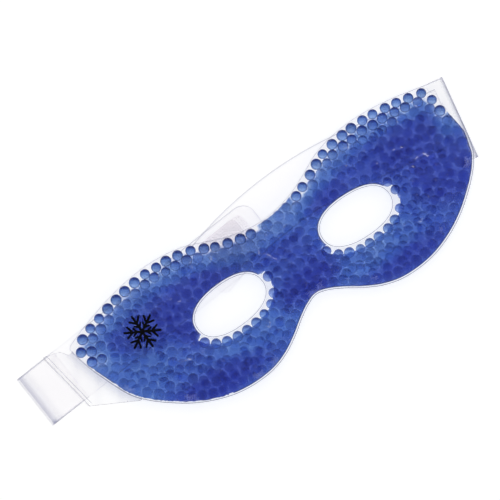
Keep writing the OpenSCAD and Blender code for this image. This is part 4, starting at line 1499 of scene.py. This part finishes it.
# ---------------------------------------------------------------- stage, camera, light
sc = bpy.context.scene
m, nt, out_ = material("floor_white")
pr = node(nt, "ShaderNodeBsdfPrincipled")
nz = noise(nt, 3.0)
crr = node(nt, "ShaderNodeValToRGB")
crr.color_ramp.elements[0].color = (0.86, 0.86, 0.86, 1)
crr.color_ramp.elements[1].color = (0.88, 0.88, 0.88, 1)
nt.links.new(nz.outputs["Fac"], crr.inputs["Fac"])
nt.links.new(crr.outputs["Color"], pr.inputs["Base Color"])
pr.inputs["Roughness"].default_value = 0.9
pr.inputs["Specular IOR Level"].default_value = 0.0
pr.inputs["Emission Color"].default_value = (1, 1, 1, 1)
pr.inputs["Emission Strength"].default_value = 0.40
nt.links.new(pr.outputs[0], out_.inputs["Surface"])
bpy.ops.mesh.primitive_plane_add(size=6.0, location=(0, 0, -0.0002))
floor_ob = bpy.context.object
floor_ob.name = "floor"
floor_ob.data.materials.append(m)

# the floor stays just under the lowest point of whatever hangs below the resting plane
marks = {"a": ("right_half", (0.1045, 0.027, 0.0)), "b": ("left_tail", tuple(np.array([*frame_xy(LF, LEFT_LEAN, (tail_len, 13)), LEFT_Z]) * MM)),
         "c": ("right_tip", tuple(np.array([*xy[-1], RIGHT_Z]) * MM)), "d": ("right_flap", (0.1060, 0.029, 0.0))}
drv = floor_ob.driver_add("location", 2).driver
drv.type = "SCRIPTED"
for key, (body, p) in marks.items():
    em = bpy.data.objects.new("low_point_" + key, None)
    sc.collection.objects.link(em)
    em.parent = frame["bodies"][body]
    em.location = p
    em.empty_display_size = 0.005
    v = drv.variables.new()
    v.name = key
    v.type = "TRANSFORMS"
    v.targets[0].id = em
    v.targets[0].transform_type = "LOC_Z"
    v.targets[0].transform_space = "WORLD_SPACE"
drv.expression = "min(0, min(min(a, b), min(c, d))) - 0.0002"

cam_d = bpy.data.cameras.new("cam")
cam = bpy.data.objects.new("cam", cam_d)
sc.collection.objects.link(cam)
cam_d.lens = 100
cam_d.sensor_width = 36
cam.location = (-0.0134, 0.0155, 0.645)
cam.rotation_euler = (0, 0, -TH)
cam_d.clip_start = 0.01
sc.camera = cam


def area(name, loc, target, size, power, color=(1, 1, 1)):
    l = bpy.data.lights.new(name, "AREA")
    l.shape = "RECTANGLE"
    l.size, l.size_y = size
    l.energy = power
    l.color = color
    ob = bpy.data.objects.new(name, l)
    sc.collection.objects.link(ob)
    ob.location = loc
    ob.rotation_euler = (Vector(target) - Vector(loc)).to_track_quat("-Z", "Y").to_euler()
    return ob


ux, uy = LIGHT_UP[0], LIGHT_UP[1]
key = area("key", (ux * 0.75 - uy * 0.25, uy * 0.75 + ux * 0.25, 0.85), (0, 0, 0), (0.9, 0.9), 4.8)
fill = area("fill", (-ux * 0.9 + 0.5 * uy, -uy * 0.9 - 0.5 * ux, 0.8), (0, 0, 0), (0.9, 0.9), 3.2)
key.visible_glossy = False
fill.visible_glossy = False
glint = area("glint", (ux * 0.30 + uy * 0.05, uy * 0.30 - ux * 0.05, 0.75), (0, 0, 0), (0.05, 0.05), 0.15)
world = bpy.data.worlds.new("studio")
sc.world = world
world.use_nodes = True
wn = world.node_tree
wn.nodes.clear()
wo = wn.nodes.new("ShaderNodeOutputWorld")
bg = wn.nodes.new("ShaderNodeBackground")
tc = wn.nodes.new("ShaderNodeTexCoord")
sp = wn.nodes.new("ShaderNodeSeparateXYZ")
rp = wn.nodes.new("ShaderNodeValToRGB")
rp.color_ramp.elements[0].position = 0.0
rp.color_ramp.elements[0].color = (0.80, 0.81, 0.83, 1)
rp.color_ramp.elements[1].position = 0.7
rp.color_ramp.elements[1].color = (1, 1, 1, 1)
wn.links.new(tc.outputs["Generated"], sp.inputs[0])
wn.links.new(sp.outputs["Z"], rp.inputs["Fac"])
wn.links.new(rp.outputs["Color"], bg.inputs["Color"])
lp = wn.nodes.new("ShaderNodeLightPath")
st_ = wn.nodes.new("ShaderNodeMapRange")
st_.inputs["To Min"].default_value = 0.42
st_.inputs["To Max"].default_value = 0.30
wn.links.new(lp.outputs["Is Glossy Ray"], st_.inputs["Value"])
wn.links.new(st_.outputs["Result"], bg.inputs["Strength"])
wn.links.new(bg.outputs[0], wo.inputs["Surface"])
sc.view_settings.view_transform = "Standard"
sc.view_settings.look = "None"
sc.cycles.transparent_max_bounces = 48
sc.cycles.transmission_bounces = 16
sc.cycles.max_bounces = 24
sc.cycles.caustics_refractive = False
sc.cycles.caustics_reflective = False

bpy.context.view_layer.update()
